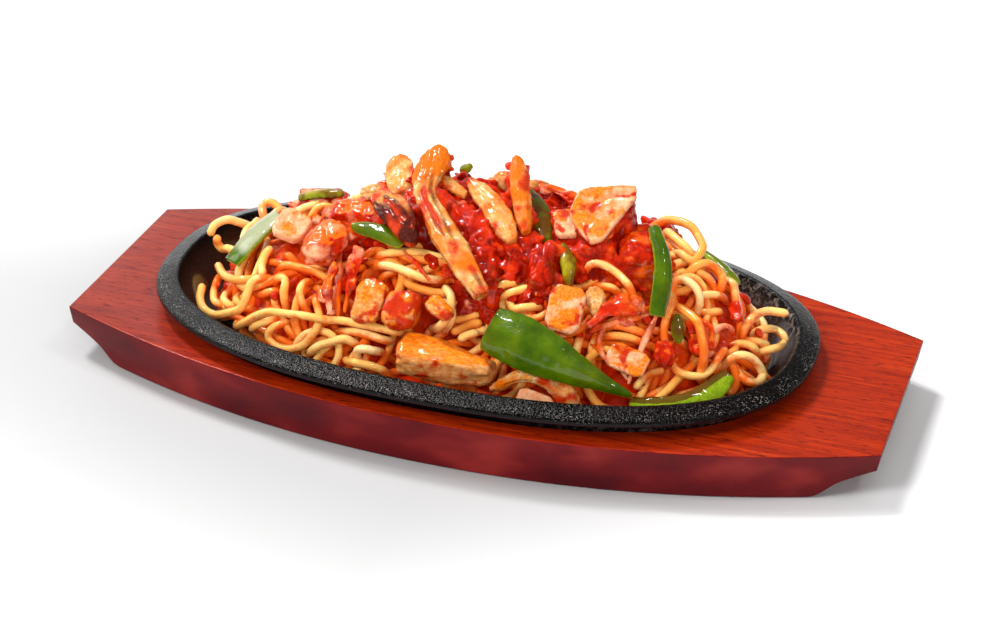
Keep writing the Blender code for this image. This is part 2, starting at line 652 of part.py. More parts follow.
def lay_noodle(places, core, ceiling):
    """The longest stretch of a noodle that lies on the core clear of toppings and plate."""
    runs = [[]]
    for x, y in places:
        hit = core.ray_cast(Vector((x, y, 0.2)), Vector((0, 0, -1)))[0]
        height = hit.z + NOODLE_RISE if hit is not None else 0.0
        clear = hit is not None and height + NOODLE_RADIUS + GAP < ceiling(x, y)
        clear = clear and height - NOODLE_RADIUS - 2 * GAP > bowl_height(x, y)
        if clear:
            runs[-1].append(Vector((x, y, height)))
        elif runs[-1]:
            runs.append([])
    longest = max(runs, key=len)
    for _ in range(3):
        inner = zip(longest, longest[1:], longest[2:])
        longest[1:-1] = [Vector((b.x, b.y, (a.z + 2 * b.z + c.z) / 4)) for a, b, c in inner]
    for end, beside in ((longest[:1], longest[1:2]), (longest[-1:], longest[-2:-1])):
        for point, drop in zip(end + beside, NOODLE_TUCK):
            point.z -= drop
    return longest


def tube(route):
    """A closed noodle along a route, its ends slightly drawn in."""
    rings = []
    for i, point in enumerate(route):
        ahead = (route[min(i + 1, len(route) - 1)] - route[max(i - 1, 0)]).normalized()
        side = ahead.cross(Vector((0, 0, 1))).normalized()
        up = side.cross(ahead)
        width = NOODLE_RADIUS * (0.8 if i in (0, len(route) - 1) else 1.0)
        turns = [math.tau * (step + 0.5) / NOODLE_SIDES for step in range(NOODLE_SIDES)]
        rings.append([point + (side * math.cos(a) + up * math.sin(a)) * width for a in turns])
    return loft(rings, route[0], route[-1])


def noodle_plans():
    """The noodles that show most, then wandering ones that start evenly round the heap."""
    rng = random.Random(NOODLE_SEED)
    plans = [plan_route(points, NOODLE_SPACING) for points in SHOWN_NOODLES]
    for ring, count in NOODLE_RINGS:
        for step in range(count):
            angle = math.tau * (step + rng.uniform(-0.3, 0.3)) / count
            half_width = HEAP_FRONT if math.sin(angle) < 0 else HEAP_BACK
            x = HEAP_CENTRE[0] + ring * HEAP_HALF_LENGTH * math.cos(angle)
            y = HEAP_CENTRE[1] + ring * half_width * math.sin(angle)
            heading = angle + math.pi / 2 + rng.uniform(-0.8, 0.8)
            plans.append(wandering(rng, (x, y), heading, rng.uniform(*NOODLE_LENGTHS), NOODLE_SPACING))
    return plans


def apart(route, others):
    """Whether most of a route keeps clear of the noodles laid before it."""
    crowded = sum(any((p - q).length < NOODLE_APART for q in others) for p in route)
    return crowded < NOODLE_CROWDED * len(route)


def fuse_noodles(core, toppings, ceiling):
    """Lays noodles on the core, the shown ones and then the longest, and joins them to it."""
    tree = tree_of(core)
    near = ceiling.within(NOODLE_RADIUS + GAP)
    routes = [lay_noodle(plan, tree, near) for plan in noodle_plans()]
    shown = routes[: len(SHOWN_NOODLES)]
    others = sorted(routes[len(SHOWN_NOODLES) :], key=len, reverse=True)
    strands = bpy.data.collections.new("strands")
    bpy.context.scene.collection.children.link(strands)
    topping_trees = [tree_of(piece) for piece in toppings]
    laid, used = [], 0
    for route in shown + others:
        cost = 2 * NOODLE_SIDES * len(route)
        if len(route) < NOODLE_FEWEST or used + cost > NOODLE_TRIANGLES or not apart(route, laid):
            continue
        strand = object_from(tube(route), "strand", "noodle")
        swollen = tree_of(strand, GAP / 2)
        if any(swollen.overlap(other) for other in topping_trees):
            bpy.data.objects.remove(strand)
            continue
        used += cost
        laid += route
        bpy.context.scene.collection.objects.unlink(strand)
        strands.objects.link(strand)
    join = core.modifiers.new("join", "BOOLEAN")
    join.operation = "UNION"
    join.operand_type = "COLLECTION"
    join.collection = strands
    join.solver = "EXACT"
    whole = bpy.data.meshes.new_from_object(core.evaluated_get(bpy.context.evaluated_depsgraph_get()))
    core.modifiers.clear()
    core.data = whole
    for strand in list(strands.objects):
        bpy.data.objects.remove(strand)
    bpy.data.collections.remove(strands)
    keep_largest(core)


def keep_largest(obj):
    """Drops loose scraps and sealed hollows, which are shells of their own."""
    bm = bmesh.new()
    bm.from_mesh(obj.data)
    left = set(bm.faces)
    shells = []
    while left:
        shell, waiting = [], [left.pop()]
        while waiting:
            face = waiting.pop()
            shell.append(face)
            for other in {f for e in face.edges if len(e.link_faces) == 2 for f in e.link_faces}:
                if other in left:
                    left.discard(other)
                    waiting.append(other)
        shells.append(shell)
    largest = set(max(shells, key=len))
    bmesh.ops.delete(bm, geom=[f for f in bm.faces if f not in largest], context="FACES")
    bm.to_mesh(obj.data)
    bm.free()


def build():
    for old in list(bpy.data.objects):
        bpy.data.objects.remove(old)
    make_board()
    plate = make_plate()
    toppings = make_tomatoes() + make_meats() + make_peppers() + make_mushrooms()
    settle(toppings, [plate])
    ceiling = Ceiling(toppings)
    core = make_core(ceiling)
    fuse_noodles(core, toppings, ceiling)


build()
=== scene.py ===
"""Spaghetti napolitan on an oval iron plate in its wooden board: the finish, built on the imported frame.

Metres, +Z up, the frame's own axes. The plate and the board are shaped again with fine edges. The
noodles are laid as loose strands in the room that the heap's solid holds, over a bed of sauce. Each
topping is a fine copy of its solid with the grain, folds and sauce of its kind, and tomato pulp fills
the dips between the toppings on top.
"""

import itertools
import math

import bmesh
import bpy
import numpy as np
from mathutils import Matrix, Vector
from mathutils.bvhtree import BVHTree


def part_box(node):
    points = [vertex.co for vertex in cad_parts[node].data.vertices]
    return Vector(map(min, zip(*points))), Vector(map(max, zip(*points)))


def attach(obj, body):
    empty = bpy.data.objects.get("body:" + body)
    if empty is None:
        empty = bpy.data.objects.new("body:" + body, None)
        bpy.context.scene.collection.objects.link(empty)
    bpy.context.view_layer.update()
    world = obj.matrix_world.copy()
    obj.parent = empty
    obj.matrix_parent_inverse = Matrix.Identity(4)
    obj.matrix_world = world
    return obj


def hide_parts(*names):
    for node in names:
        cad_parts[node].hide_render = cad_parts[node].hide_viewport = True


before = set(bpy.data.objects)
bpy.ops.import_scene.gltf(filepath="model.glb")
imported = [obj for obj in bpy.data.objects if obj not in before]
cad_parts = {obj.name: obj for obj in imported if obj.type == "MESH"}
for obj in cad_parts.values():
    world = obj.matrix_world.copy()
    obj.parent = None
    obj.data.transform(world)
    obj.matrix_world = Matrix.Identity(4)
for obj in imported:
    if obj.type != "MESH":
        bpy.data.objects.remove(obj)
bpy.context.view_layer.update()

MM = 0.001
BODY = "root"
FOOD = [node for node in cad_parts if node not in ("noodles", "iron_plate", "underliner_board")]
TOMATOES = [node for node in FOOD if node.startswith("tomato")]
TOMATO_MIDDLE = [node for node in TOMATOES if node.startswith("tomato_middle")]

SEEDS = {"noodles": 5, "bits": 11, "tomatoes": 3, "pulp": 8, "threads": 21}

# Camera, fitted to the outlines of board and plate in a picture 1000 pixels wide
CAMERA_PLACE = (0.2443, -0.8741, 0.4824)
CAMERA_TURN = (1.1013, -0.0448, 0.2946)
CAMERA_LENS = 100.2
SENSOR = 36.0

# Plate: its profile in mm inside the outline and mm up, with the radius of each corner
PLATE_OVAL = 2.35
PLATE_PROFILE = (
    (22.0, 6.0, 1.0), (18.5, 6.4, 1.5), (14.5, 9.4, 3.0), (9.8, 16.5, 3.0), (7.6, 22.4, 1.6),
    (1.0, 23.6, 0.8), (0.0, 24.3, 0.5), (0.0, 25.7, 0.5), (0.6, 26.3, 0.6), (7.2, 28.6, 0.9),
    (8.2, 28.3, 0.8), (12.0, 18.0, 4.0), (15.0, 13.4, 3.0), (18.5, 11.0, 3.0), (25.0, 10.0, 3.0),
    (40.0, 10.0, 1.0),
)
PLATE_STEPS = 240
PLATE_WARP = 0.12 * MM
# Where the rim's outer face ends, in mm up, and where the inner wall starts, in mm inside the outline
RIM_EDGE = 25.6
WALL_START = 8.6
# Bands round the plate, in mm inside its outline, with their spread: painted glints near the rim's outer
# edge, and painted reflection streaks on the inner wall, wet with sauce
RIM_GLINTS = (2.2, 1.7)
WALL_REFLECTIONS = (9.3, 1.1)

# Board: straight ends, bowed long sides that lean out towards the top, a recess and two coves
BOARD_STEPS = 96
BOARD_CLOSE = 8 * MM
BOARD_END_WIDTH = 91 * MM
BOARD_BOW = 2.1
BOARD_DRAFT = 2.7 * MM
BOARD_EDGE = 0.7 * MM
RECESS_INSET = 8 * MM
RECESS_FLOOR = 5.6 * MM
RECESS_STEPS = 160
COVE_START = 126 * MM
COVE_ROUND = 2.0  # mm
COVE_PROFILE = ((0, 0), (4, 0.8), (7, 3.2), (10, 6.0), (15, 8.3), (24, 11.5))

# Noodles
NOODLE_RADIUS = 1.6 * MM
NOODLE_STATION = 2.0 * MM
NOODLE_SIDES = 8
NOODLE_COUNT = 165
NOODLE_LENGTH = (70 * MM, 230 * MM)
NOODLE_SWAY = 1.3  # mm
# How far a noodle sinks beside the middle tomatoes, and how far from them that starts
NOODLE_SINK = (5 * MM, 6 * MM)
NOODLE_BEND = 9 * MM  # about the tightest bend
NOODLE_BUNDLE = 38 * MM  # over which noodles that lie calm run the same way
# A noodle that comes down to the first height starts to turn back up, over the second
NOODLE_LOW = (20 * MM, 8 * MM)
NOODLE_DEEPEST = 9.5 * MM
# Layers of noodles: how far below the heap's surface in mm, and what share of the noodles
SHELL_DEPTHS = ((-1.5, 0.42), (-4.4, 0.34), (-7.2, 0.24))
SETTLE_ROUNDS = 70

# Bed of sauce below the noodles: how deep it lies, and how much higher where the heap is soaked
BED_DEPTH = 5.8 * MM
BED_RISE = 3.2 * MM

# Noodles that lie on top, as points in mm
LOOSE_NOODLES = (
    ((-109, -17.5, 21), (-106.5, -25.5, 20), (-102, -32, 19.5), (-96.5, -34, 19), (-89, -38.5, 23.5),
     (-84, -40, 27), (-82.5, -38.5, 31), (-82, -36, 34.5), (-80.5, -35, 37.5), (-77, -34.5, 40)),
    ((-93, -38, 18.5), (-87.5, -40.5, 19), (-82, -44.5, 23.5), (-76.5, -46, 28), (-70.5, -48, 31.5),
     (-63, -50, 33), (-55.5, -52, 34.5), (-49, -52, 34.5), (-43, -49.5, 34), (-36.5, -49, 34),
     (-30, -48.5, 33.5), (-23.5, -47.5, 32.5), (-18.5, -43, 30)),
    ((-45, -50, 33), (-39.5, -49.5, 31.5), (-33, -50, 31), (-27.5, -49, 29.5), (-22, -45, 27)),
    ((-60, -35, 43), (-60.5, -40.5, 41), (-61, -44, 39), (-60, -47, 36.5), (-57.5, -50, 34.5)),
    ((-59.5, -41, 40), (-56, -44, 39.5), (-53.5, -46.5, 37), (-51.5, -49.5, 34.5), (-51.5, -51.5, 31),
     (-53.5, -52.5, 27), (-57, -53, 23), (-62.5, -52, 20.5), (-67.5, -49.5, 19.5), (-71.5, -48, 21),
     (-72, -47.5, 24), (-69.5, -47.5, 27.5), (-65.5, -48.5, 29.5)),
    ((-60, -35, 41.5), (-56, -39.5, 41), (-51, -43, 40), (-47, -44.5, 38), (-44, -45.5, 36)),
    ((-77.5, -30, 41.5), (-72, -31.5, 42.5), (-66.5, -32, 42.5), (-60.5, -33, 42.5), (-55, -36, 42.5),
     (-48.5, -39.5, 42)),
    ((-80, -22, 42.5), (-75, -23.5, 43.5), (-70.5, -26, 43.5), (-66, -28, 43)),
    ((-77, -36, 36.5), (-73.5, -35.5, 39), (-69, -37, 39.5), (-68, -41, 37), (-68, -43.5, 34),
     (-69, -45.5, 31)),
    ((-109, -8, 39), (-109, -6, 35), (-106.5, -6, 32.5), (-101.5, -10, 34), (-96, -15.5, 37)),
    ((-100.5, -15, 29), (-105, -12.5, 23), (-104.5, -18, 20.5), (-101, -26, 20), (-96.5, -31.5, 19.5)),
    ((-97, -23, 28), (-97, -26.5, 24.5), (-94, -31, 23), (-89, -35.5, 23)),
    ((-93, -27.5, 28.5), (-90.5, -32, 26.5), (-86.5, -36, 25.5), (-82, -39.5, 25.5)),
    ((-103.5, -13.5, 28), (-97, -24, 30), (-90, -30.5, 32.5), (-85.5, -32, 35), (-83.5, -30, 38)),
    ((-79.5, -33.5, 38), (-81.5, -29.5, 39), (-81.5, -25.5, 41.5), (-80, -22.5, 43)),
    ((-57.5, -54, 20.5), (-53.5, -54.5, 23), (-49.5, -54, 26), (-45, -53.5, 28), (-40.5, -53, 30),
     (-35.5, -52, 30.5)),
    ((-83, -43, 18), (-79, -44.5, 21), (-74, -46, 25), (-69, -47, 28)),
    ((-74.5, -45.5, 18.5), (-69.5, -47.5, 17.5), (-63.5, -50, 18), (-59, -52, 18.5)),
    ((-34, -56, 22.5), (-36, -54.5, 24), (-34, -53.5, 26.5), (-29.5, -52, 26), (-24.5, -48, 24)),
    ((-34, -49.5, 29), (-35.5, -52, 26.5), (-37, -53.5, 24), (-38, -55, 22)),
    ((-42.5, -54.5, 22.5), (-37, -55.5, 22), (-31, -55, 21.5), (-26, -53, 19.5), (-20.5, -51.5, 17.5)),
    ((-40, -33.5, 48), (-36, -32, 49), (-30.5, -32.5, 49.5), (-23, -36.5, 50.5), (-17, -37, 49.5),
     (-11, -36.5, 48.5)),
    ((-28, -34, 47.5), (-22, -37, 46.5), (-17, -37, 45.5), (-11.5, -36.5, 45), (-5.5, -36, 45)),
    ((-13, -38.5, 42.5), (-9, -38.5, 42.5), (-6, -39, 40), (-6, -40, 36.5), (-8, -40.5, 33),
     (-10.5, -41.5, 31)),
    ((-2.5, -40, 30), (1.5, -39, 33), (7, -38.5, 35.5)),
    ((-6, -38, 35), (-1, -37.5, 36.5), (3.5, -37, 38.5)),
    ((4.5, -36, 46.5), (9.5, -34.5, 49.5), (13.5, -32, 52), (17, -29, 53)),
    ((7, -36, 45.5), (12.5, -36.5, 48.5), (17.5, -34.5, 50.5), (22, -31.5, 51.5), (26.5, -29.5, 52)),
    ((13, -39, 44), (19, -41, 47), (23.5, -38.5, 48), (27, -34, 50)),
    ((3.5, -33.5, 50), (7, -32, 50.5), (8, -28.5, 52), (5.5, -24, 53.5)),
    ((34, -24.5, 54), (36, -22, 56.5), (39.5, -20.5, 58.5), (43.5, -19, 57.5), (48, -19, 55),
     (52, -22, 53.5), (55.5, -24.5, 51.5), (59, -26.5, 49.5)),
    ((38.5, -23, 53.5), (43, -23, 52.5), (48, -22.5, 52), (53.5, -21.5, 51.5)),
    ((46, -36, 43.5), (51.5, -35, 43.5), (57, -34, 42.5), (62.5, -32, 40.5), (68, -29.5, 38)),
    ((46, -38, 41.5), (51.5, -36.5, 41), (57.5, -35, 40.5), (63, -32.5, 38), (68.5, -31, 35.5),
     (74, -29, 34)),
    ((70.5, -16.5, 52.5), (69, -21, 50), (68.5, -25.5, 47), (68, -29, 43), (69.5, -32.5, 38),
     (72, -35.5, 34.5), (75.5, -37, 31.5), (79.5, -36, 30), (83.5, -33, 29), (86, -29.5, 30),
     (87.5, -25.5, 32.5), (88, -22, 35), (88.5, -19.5, 37)),
    ((87.5, -26, 30.5), (90, -24, 32), (93, -21.5, 33.5), (96.5, -19, 32.5), (99.5, -16.5, 29),
     (101.5, -15, 24.5), (101, -18.5, 23), (98.5, -22, 24), (96, -23, 26.5), (95, -22.5, 30)),
    ((91.5, -21.5, 30.5), (93.5, -22.5, 27), (94, -24.5, 23), (92.5, -27, 20.5)),
    ((74, -20, 47.5), (76.5, -21.5, 45), (79, -24, 42), (81.5, -28, 38), (83.5, -31, 34.5),
     (85, -33, 30.5)),
    ((67, -7, 55), (71, -9.5, 52.5), (74.5, -10.5, 49), (77, -12.5, 45.5), (78, -14, 42.5)),
    ((79.5, 8, 50.5), (83, 6, 48.5), (84.5, 3, 45.5), (86, 0, 42), (88.5, -3, 39), (92, -8, 37)),
    ((104, 8, 37.5), (100, 8, 37.5), (96.5, 6, 38), (93.5, 2, 38), (92, -4.5, 38.5), (90.5, -7, 37.5)),
    ((98, 0.5, 34.5), (99.5, 14, 27.5), (103, 12, 26.5), (103, 12, 24), (102.5, 2.5, 26.5),
     (100, -6.5, 29.5)),
    ((48, 23.5, 58.5), (51.5, 24, 58.5), (56, 22, 59.5), (60.5, 20, 60.5), (65, 18, 60),
     (68, 16, 57.5), (71, 9, 57), (72.5, 0, 57)),
    ((54, 21, 57.5), (59.5, 11, 59), (64.5, 6, 58), (68.5, 4.5, 57), (72, 7.5, 54.5)),
    ((59.5, 7.5, 58), (64, 5.5, 57), (69, 1.5, 56), (73, 6, 53.5), (77, 6.5, 51)),
    ((69.5, -3, 55.5), (73.5, 4, 53.5), (77.5, 5.5, 50.5), (80.5, 2, 48), (82, -0.5, 44.5)),
    ((73, -1, 52.5), (76.5, 1, 50), (79.5, 0.5, 47), (81.5, -1, 43.5)),
    ((74, -10, 49), (78, -6.5, 47.5), (82, 0, 43.5), (86, 2, 41.5)),
    ((77, -12, 44), (81.5, -7.5, 42), (85.5, 0, 39.5)),
    ((91, -7, 35.5), (95, -5.5, 33.5), (99, -3, 31), (102, 7, 25)),
    ((88.5, -11.5, 35), (93, -9, 32.5), (97.5, -7, 30), (101, -3.5, 26.5)),
    ((62.5, -42, 24.5), (64, -40, 27), (67, -37.5, 29), (70.5, -36, 30)),
    ((-97.5, 8, 44.5), (-96, 5, 43), (-94.5, 0, 42.5), (-97, -1.5, 40.5), (-97.5, -4, 39),
     (-97.5, -8, 36.5), (-99, -12, 34.5)),
    ((-89, -9.5, 46), (-86.5, -7.5, 48), (-84, -5, 49.5), (-83, 1, 49.5), (-82.5, 5, 49.5)),
    ((-90, -5.5, 46.5), (-93, 2, 45.5), (-94, 6, 44.5), (-92.5, 8, 45.5), (-89.5, 7, 46), (-86.5, 4, 46)),
    ((-106.5, -8, 34.5), (-106, -6, 38), (-103, -3, 40), (-100, 1, 38.5), (-98, 4, 36.5)),
    ((-103, -8, 38), (-101.5, -8, 34.5), (-99, -7, 35), (-98, -2.5, 36.5), (-98, 2, 37.5)),
    ((-78, -3, 50.5), (-76, 0, 51.5), (-73, 1.5, 52.5), (-71, 4, 53)),
    ((-75, -7.5, 50.5), (-71.5, -5.5, 52), (-69, -2, 53.5), (-65, -2, 54), (-59.5, -5, 54)),
    ((-89, -7, 45), (-94, 4, 43.5), (-95.5, 8, 44.5)),
    ((-10, -37.5, 46.5), (-6.5, -37.5, 45), (-5.5, -38.5, 41.5), (-6.5, -40, 36.5), (-9.5, -41, 33),
     (-13, -41.5, 31)),
    ((-6.5, -40.5, 33), (-3.5, -40, 34.5), (0.5, -39, 36.5), (4, -39, 37.5)),
    ((-1.5, -41, 31.5), (1.5, -40, 33.5), (4.5, -39.5, 34.5)),
    ((22.5, -34, 51), (25.5, -32, 52), (28.5, -29.5, 52.5)),
)
# Ends farther out than this stand free, and the others dive into the heap by these depths in mm
FREE_END = 103 * MM
DIVE = (0.7, 2.2, 4.5, 7.0)

# Torn threads of tomato skin that lie over the noodles, as points in mm
TOMATO_THREADS = (
    ((62.5, -28, 47), (58.5, -31.5, 46.5), (53, -34.5, 45), (48, -37, 43.5), (44, -40, 41.5)),
    ((65, -27, 46.5), (64, -31, 44), (63, -34, 40.5), (62.5, -37.5, 36.5), (61, -41.5, 32),
     (60.5, -45, 27.5)),
    ((48, -38, 42.5), (48, -41, 39), (50, -43.5, 35)),
    ((53, -40.5, 38.5), (56, -42.5, 34.5), (60, -43.5, 28)),
    ((-40, -28.5, 53.5), (-42.5, -31, 51), (-44, -35, 48), (-44, -39, 45), (-44, -42.5, 40.5),
     (-43, -47.5, 36.5)),
    ((-53.5, -22, 49.5), (-51, -30, 47), (-48.5, -38.5, 44.5), (-47, -45, 39.5), (-45, -49, 35)),
    ((57.5, -28, 49), (53, -27.5, 50), (49.5, -29.5, 48.5), (47, -33.5, 46)),
    ((45, -41.5, 38), (49, -42.5, 36.5), (52.5, -44.5, 34)),
    ((78.5, -17.5, 38.5), (82.5, -16, 38), (85.5, -12.5, 38.5), (89, -10, 36.5)),
    ((78.5, -25.5, 34), (82, -24.5, 32), (85, -21.5, 33)),
    ((-27.5, -29, 55), (-21.5, -34.5, 54.5), (-17, -36.5, 51), (-13, -37, 48.5)),
    ((7.5, -52.5, 17.5), (13.5, -53, 17), (20, -55.5, 18.5)),
    ((66.5, -33.5, 35.5), (70.5, -33, 34), (74.5, -32, 32.5)),
    ((27, -36.5, 49.5), (33, -42.5, 42), (36.5, -42.5, 39.5)),
)

# Pulp between the toppings on top: its area in plan in mm, the widest dip that it fills, the least
# depth that counts, how far below its surface the crumbs' mound lies, and the toppings that it lies among
PULP_AREA = ((-92, -50), (70, 40))
PULP_STEP = 1.0 * MM
PULP_SPAN = 9 * MM
PULP_LEAST = 0.8 * MM
PULP_COVER = 3.0 * MM
PULP_REACH = 3 * MM  # beyond the toppings that it lies among
PULP_HOLD = 5.0 * MM  # how much of a topping above its underside the pulp holds
PULP_SLAB = (5 * MM, 7 * MM)  # how far below the heap's surface the slab's top and underside lie
PULP_CRUMBS = 1300
PULP_CROWN = (
    "tomato_middle", "tomato_middle_back", "tomato_middle_front", "tomato_middle_right", "mushroom_pale",
    "mushroom_brown", "mushroom_button", "mushroom_crescent", "mushroom_leaf", "mushroom_stick", "ham_fold",
    "ham_fold_small", "chicken_bit_top", "pepper_bit_top", "pepper_dark_top", "tomato_top", "tomato_right",
    "tomato_back_left", "tomato_left", "mushroom_long", "ham_rear_left", "pepper_back_left",
)
# Its edge towards the photo's side, as X and Y in mm
PULP_FRONT = (
    (-70, -24), (-45, -26), (-32, -22), (-10, -22), (-4, -34), (8, -38), (30, -36), (50, -22), (70, -15),
)

# The upright plane through which lines of sight are drawn to what shows above the pulp, in mm: its Y,
# its reach in X and in Z, and the distance between two lines
SIGHT_PLANE = -25
SIGHT_REACH = ((-95, 75), (30, 92))
SIGHT_STEP = 0.6
SIGHT_WALK = 45 * MM  # how far towards the camera a line of sight is kept clear

# Crumbs of tomato between the noodles: near the tomatoes, elsewhere, and round the middle chunks
BITS_NEAR = 90
BITS_ELSEWHERE = 70
MIDDLE_CRUMBS = 150

# Edge length of the cells that the toppings' surfaces are rebuilt with
TOPPING_VOXEL = 0.55 * MM

# Peppers: the way that the skin faces, then how yellow, how pale inside and how saucy each one is
PEPPERS = {
    "pepper_front": ((0.05, -0.8, 0.6), 0.0, 0.0, 0.08),
    "pepper_front_curl": ((0.1, 0.5, 1.0), 0.15, 0.0, 0.5),
    "pepper_left": ((-0.5, -0.4, 0.8), 0.0, 0.9, 0.0),
    "pepper_back_left": ((-0.2, 0.2, 1), 0.9, 0.0, 0.55),
    "pepper_top_left": ((-0.1, -0.5, 0.85), 0.1, 0.0, 0.2),
    "pepper_dark_top": ((0.2, -0.2, 1), 0.1, 0.0, 0.5),
    "pepper_yellow": ((0.2, -0.5, 0.9), 1.0, 0.0, 0.6),
    "pepper_right": ((0.45, -0.45, 0.8), 0.05, 0.0, 0.05),
    "pepper_small_right": ((0.4, -0.5, 0.75), 0.1, 0.0, 0.35),
    "pepper_bit_top": ((0, -0.3, 1), 0.5, 0.0, 0.3),
    "pepper_rear": ((-0.1, 0.6, 0.8), 0.1, 0.0, 0.1),
    "pepper_rear_right": ((0.4, 0.5, 0.8), 0.3, 0.0, 0.1),
}

# Half-widths in mm from one end of a strip to the other, where it isn't as round-ended as its solid
PEPPER_WIDTHS = {
    "pepper_front": (8.2, 8.8, 9.2, 9.2, 8.6, 7.4, 5.8, 4.0, 2.4, 1.0),
    "pepper_right": (2.4, 2.9, 3.3, 3.5, 3.4, 3.0),
    "pepper_left": (4.8, 5.2, 5.2, 5.0, 4.6),
}
# How far a strip's surface may turn away from its facing before it counts as a cut edge
PEPPER_RIM = (-0.3, 0.0)
PEPPER_RIMS = {"pepper_front_curl": (-0.75, -0.45)}

# Mushrooms: how dark the painted shade in the grooves and the seam is (for the brown one, how dark its own
# brown), how orange, how saucy, and how deep the seam between two stems
MUSHROOMS = {
    "mushroom_long": (0.7, 0.35, 0.3, 1.0),
    "mushroom_brown": (1.0, 0.3, 0.45, 0.5),
    "mushroom_pale": (0.0, 0.2, 0.0, 0.0),
    "mushroom_button": (0.5, 0.2, 0.2, 0.0),
    "mushroom_leaf": (0.0, 0.35, 0.15, 0.3),
    "mushroom_stick": (0.1, 0.55, 0.3, 0.0),
    "mushroom_crescent": (0.2, 0.5, 0.2, 0.0),
    "mushroom_cap_small": (0.3, 0.1, 0.0, 0.0),
    "mushroom_front": (0.3, 0.5, 0.35, 0.0),
    "mushroom_rear": (0.5, 0.3, 0.2, 0.0),
}

# Meat: how much orange glaze lies on top, and how much red sauce clings to it
MEATS = {
    "chicken_front": (1.0, 0.3), "chicken_left": (1.0, 0.6), "chicken_middle": (1.5, 0.75),
    "chicken_small": (1.1, 0.6), "chicken_bit_top": (0.6, 0.6), "chicken_rear": (0.7, 0.3),
    "ham_left": (0.35, 0.0), "ham_fold": (0.8, 0.15), "ham_fold_small": (0.5, 0.35),
    "ham_square": (0.95, 0.25), "ham_low": (1.2, 0.3), "ham_front": (0.1, 0.1), "ham_rear": (0.3, 0.2),
    "ham_rear_left": (0.8, 0.7),
}

# Tomatoes: how light the red is, how orange, and how pale the flesh of some is
TOMATO_TONES = {
    "tomato_left": (0.3, 0.75, 0.5), "tomato_back_left": (0.35, 0.6, 0.35),
    "tomato_left_string": (0.5, 0.9, 0.55), "tomato_left_skin": (0.3, 0.6, 0.3),
    "tomato_middle": (0.1, 0.0, 0.0), "tomato_flap": (0.3, 0.4, 0.35), "tomato_top": (0.3, 0.5, 0.3),
    "tomato_right": (0.25, 0.2, 0.1), "tomato_low_right": (0.4, 0.5, 0.2),
    "tomato_under_loop": (0.35, 0.6, 0.1), "tomato_far_right": (0.4, 0.3, 0.1),
}
TOMATO_TONE = (0.3, 0.2, 0.0)
# Tomatoes that lie flat between the noodles, without torn crumbs round them
TOMATO_FLAT = ("tomato_low_right", "tomato_under_loop", "tomato_far_right")

# Floor: how light it is near the board, darkened there by painted shadow, and far from it, and how far in
# metres the change reaches
FLOOR_SIZE = 6.0
FLOOR_DROP = 0.2 * MM
FLOOR_SHADOW_TONES = (0.47, 0.8)
FLOOR_SHADOW_FADE = (0.14, 0.42)

# Lamps: where the light comes from, its width in degrees, its power, and whether it shows as shine
SUNS = {
    "window_back_left": ((-0.6, 0.35, 1.0), 11, 2.1, True),
    "front_left": ((-0.55, -0.75, 0.75), 22, 1.85, False),
    "front_right": ((0.5, -0.9, 0.5), 30, 1.3, False),
    "overhead": ((0.15, 0.0, 1.0), 40, 0.6, False),
    "lamp_right": ((0.5, 0.1, 0.85), 5, 0.35, True),
    "lamp_left": ((-0.4, 0.15, 0.9), 4, 0.45, True),
}
# Lit panels: place, size and power
WINDOWS = {
    "low_window": ((-0.55, 0.75, 0.42), (0.5, 0.3), 0.4),
    "left_window": ((-1.0, 0.12, 0.45), (0.35, 0.5), 1.8),
    "back_window": ((-0.75, 1.05, 0.22), (0.7, 0.3), 0.8),
}
ROOM_LIGHT = 0.16


def linear(code):
    """A colour written as six hex digits, as Blender's linear numbers."""
    shares = [int(code[i : i + 2], 16) / 255 for i in (0, 2, 4)]
    return tuple(s / 12.92 if s <= 0.04045 else ((s + 0.055) / 1.055) ** 2.4 for s in shares) + (1.0,)


# ---------------------------------------------------------------- finishes


class Value:
    """An output of a material's node, with arithmetic that adds Math nodes."""

    def __init__(self, finish, socket):
        self.finish = finish
        self.socket = socket

    def math(self, operation, *numbers, clamp=False):
        settings = {"operation": operation, "use_clamp": clamp}
        return self.finish.node("ShaderNodeMath", settings, dict(enumerate(numbers)))

    def __add__(self, other):
        return self.math("ADD", self, other)

    def __radd__(self, other):
        return self.math("ADD", other, self)

    def __sub__(self, other):
        return self.math("SUBTRACT", self, other)

    def __rsub__(self, other):
        return self.math("SUBTRACT", other, self)

    def __neg__(self):
        return self.math("SUBTRACT", 0.0, self)

    def __mul__(self, other):
        return self.math("MULTIPLY", self, other)

    def __rmul__(self, other):
        return self.math("MULTIPLY", other, self)

    def held(self):
        """The number, kept between 0 and 1."""
        return self.math("ADD", self, 0.0, clamp=True)


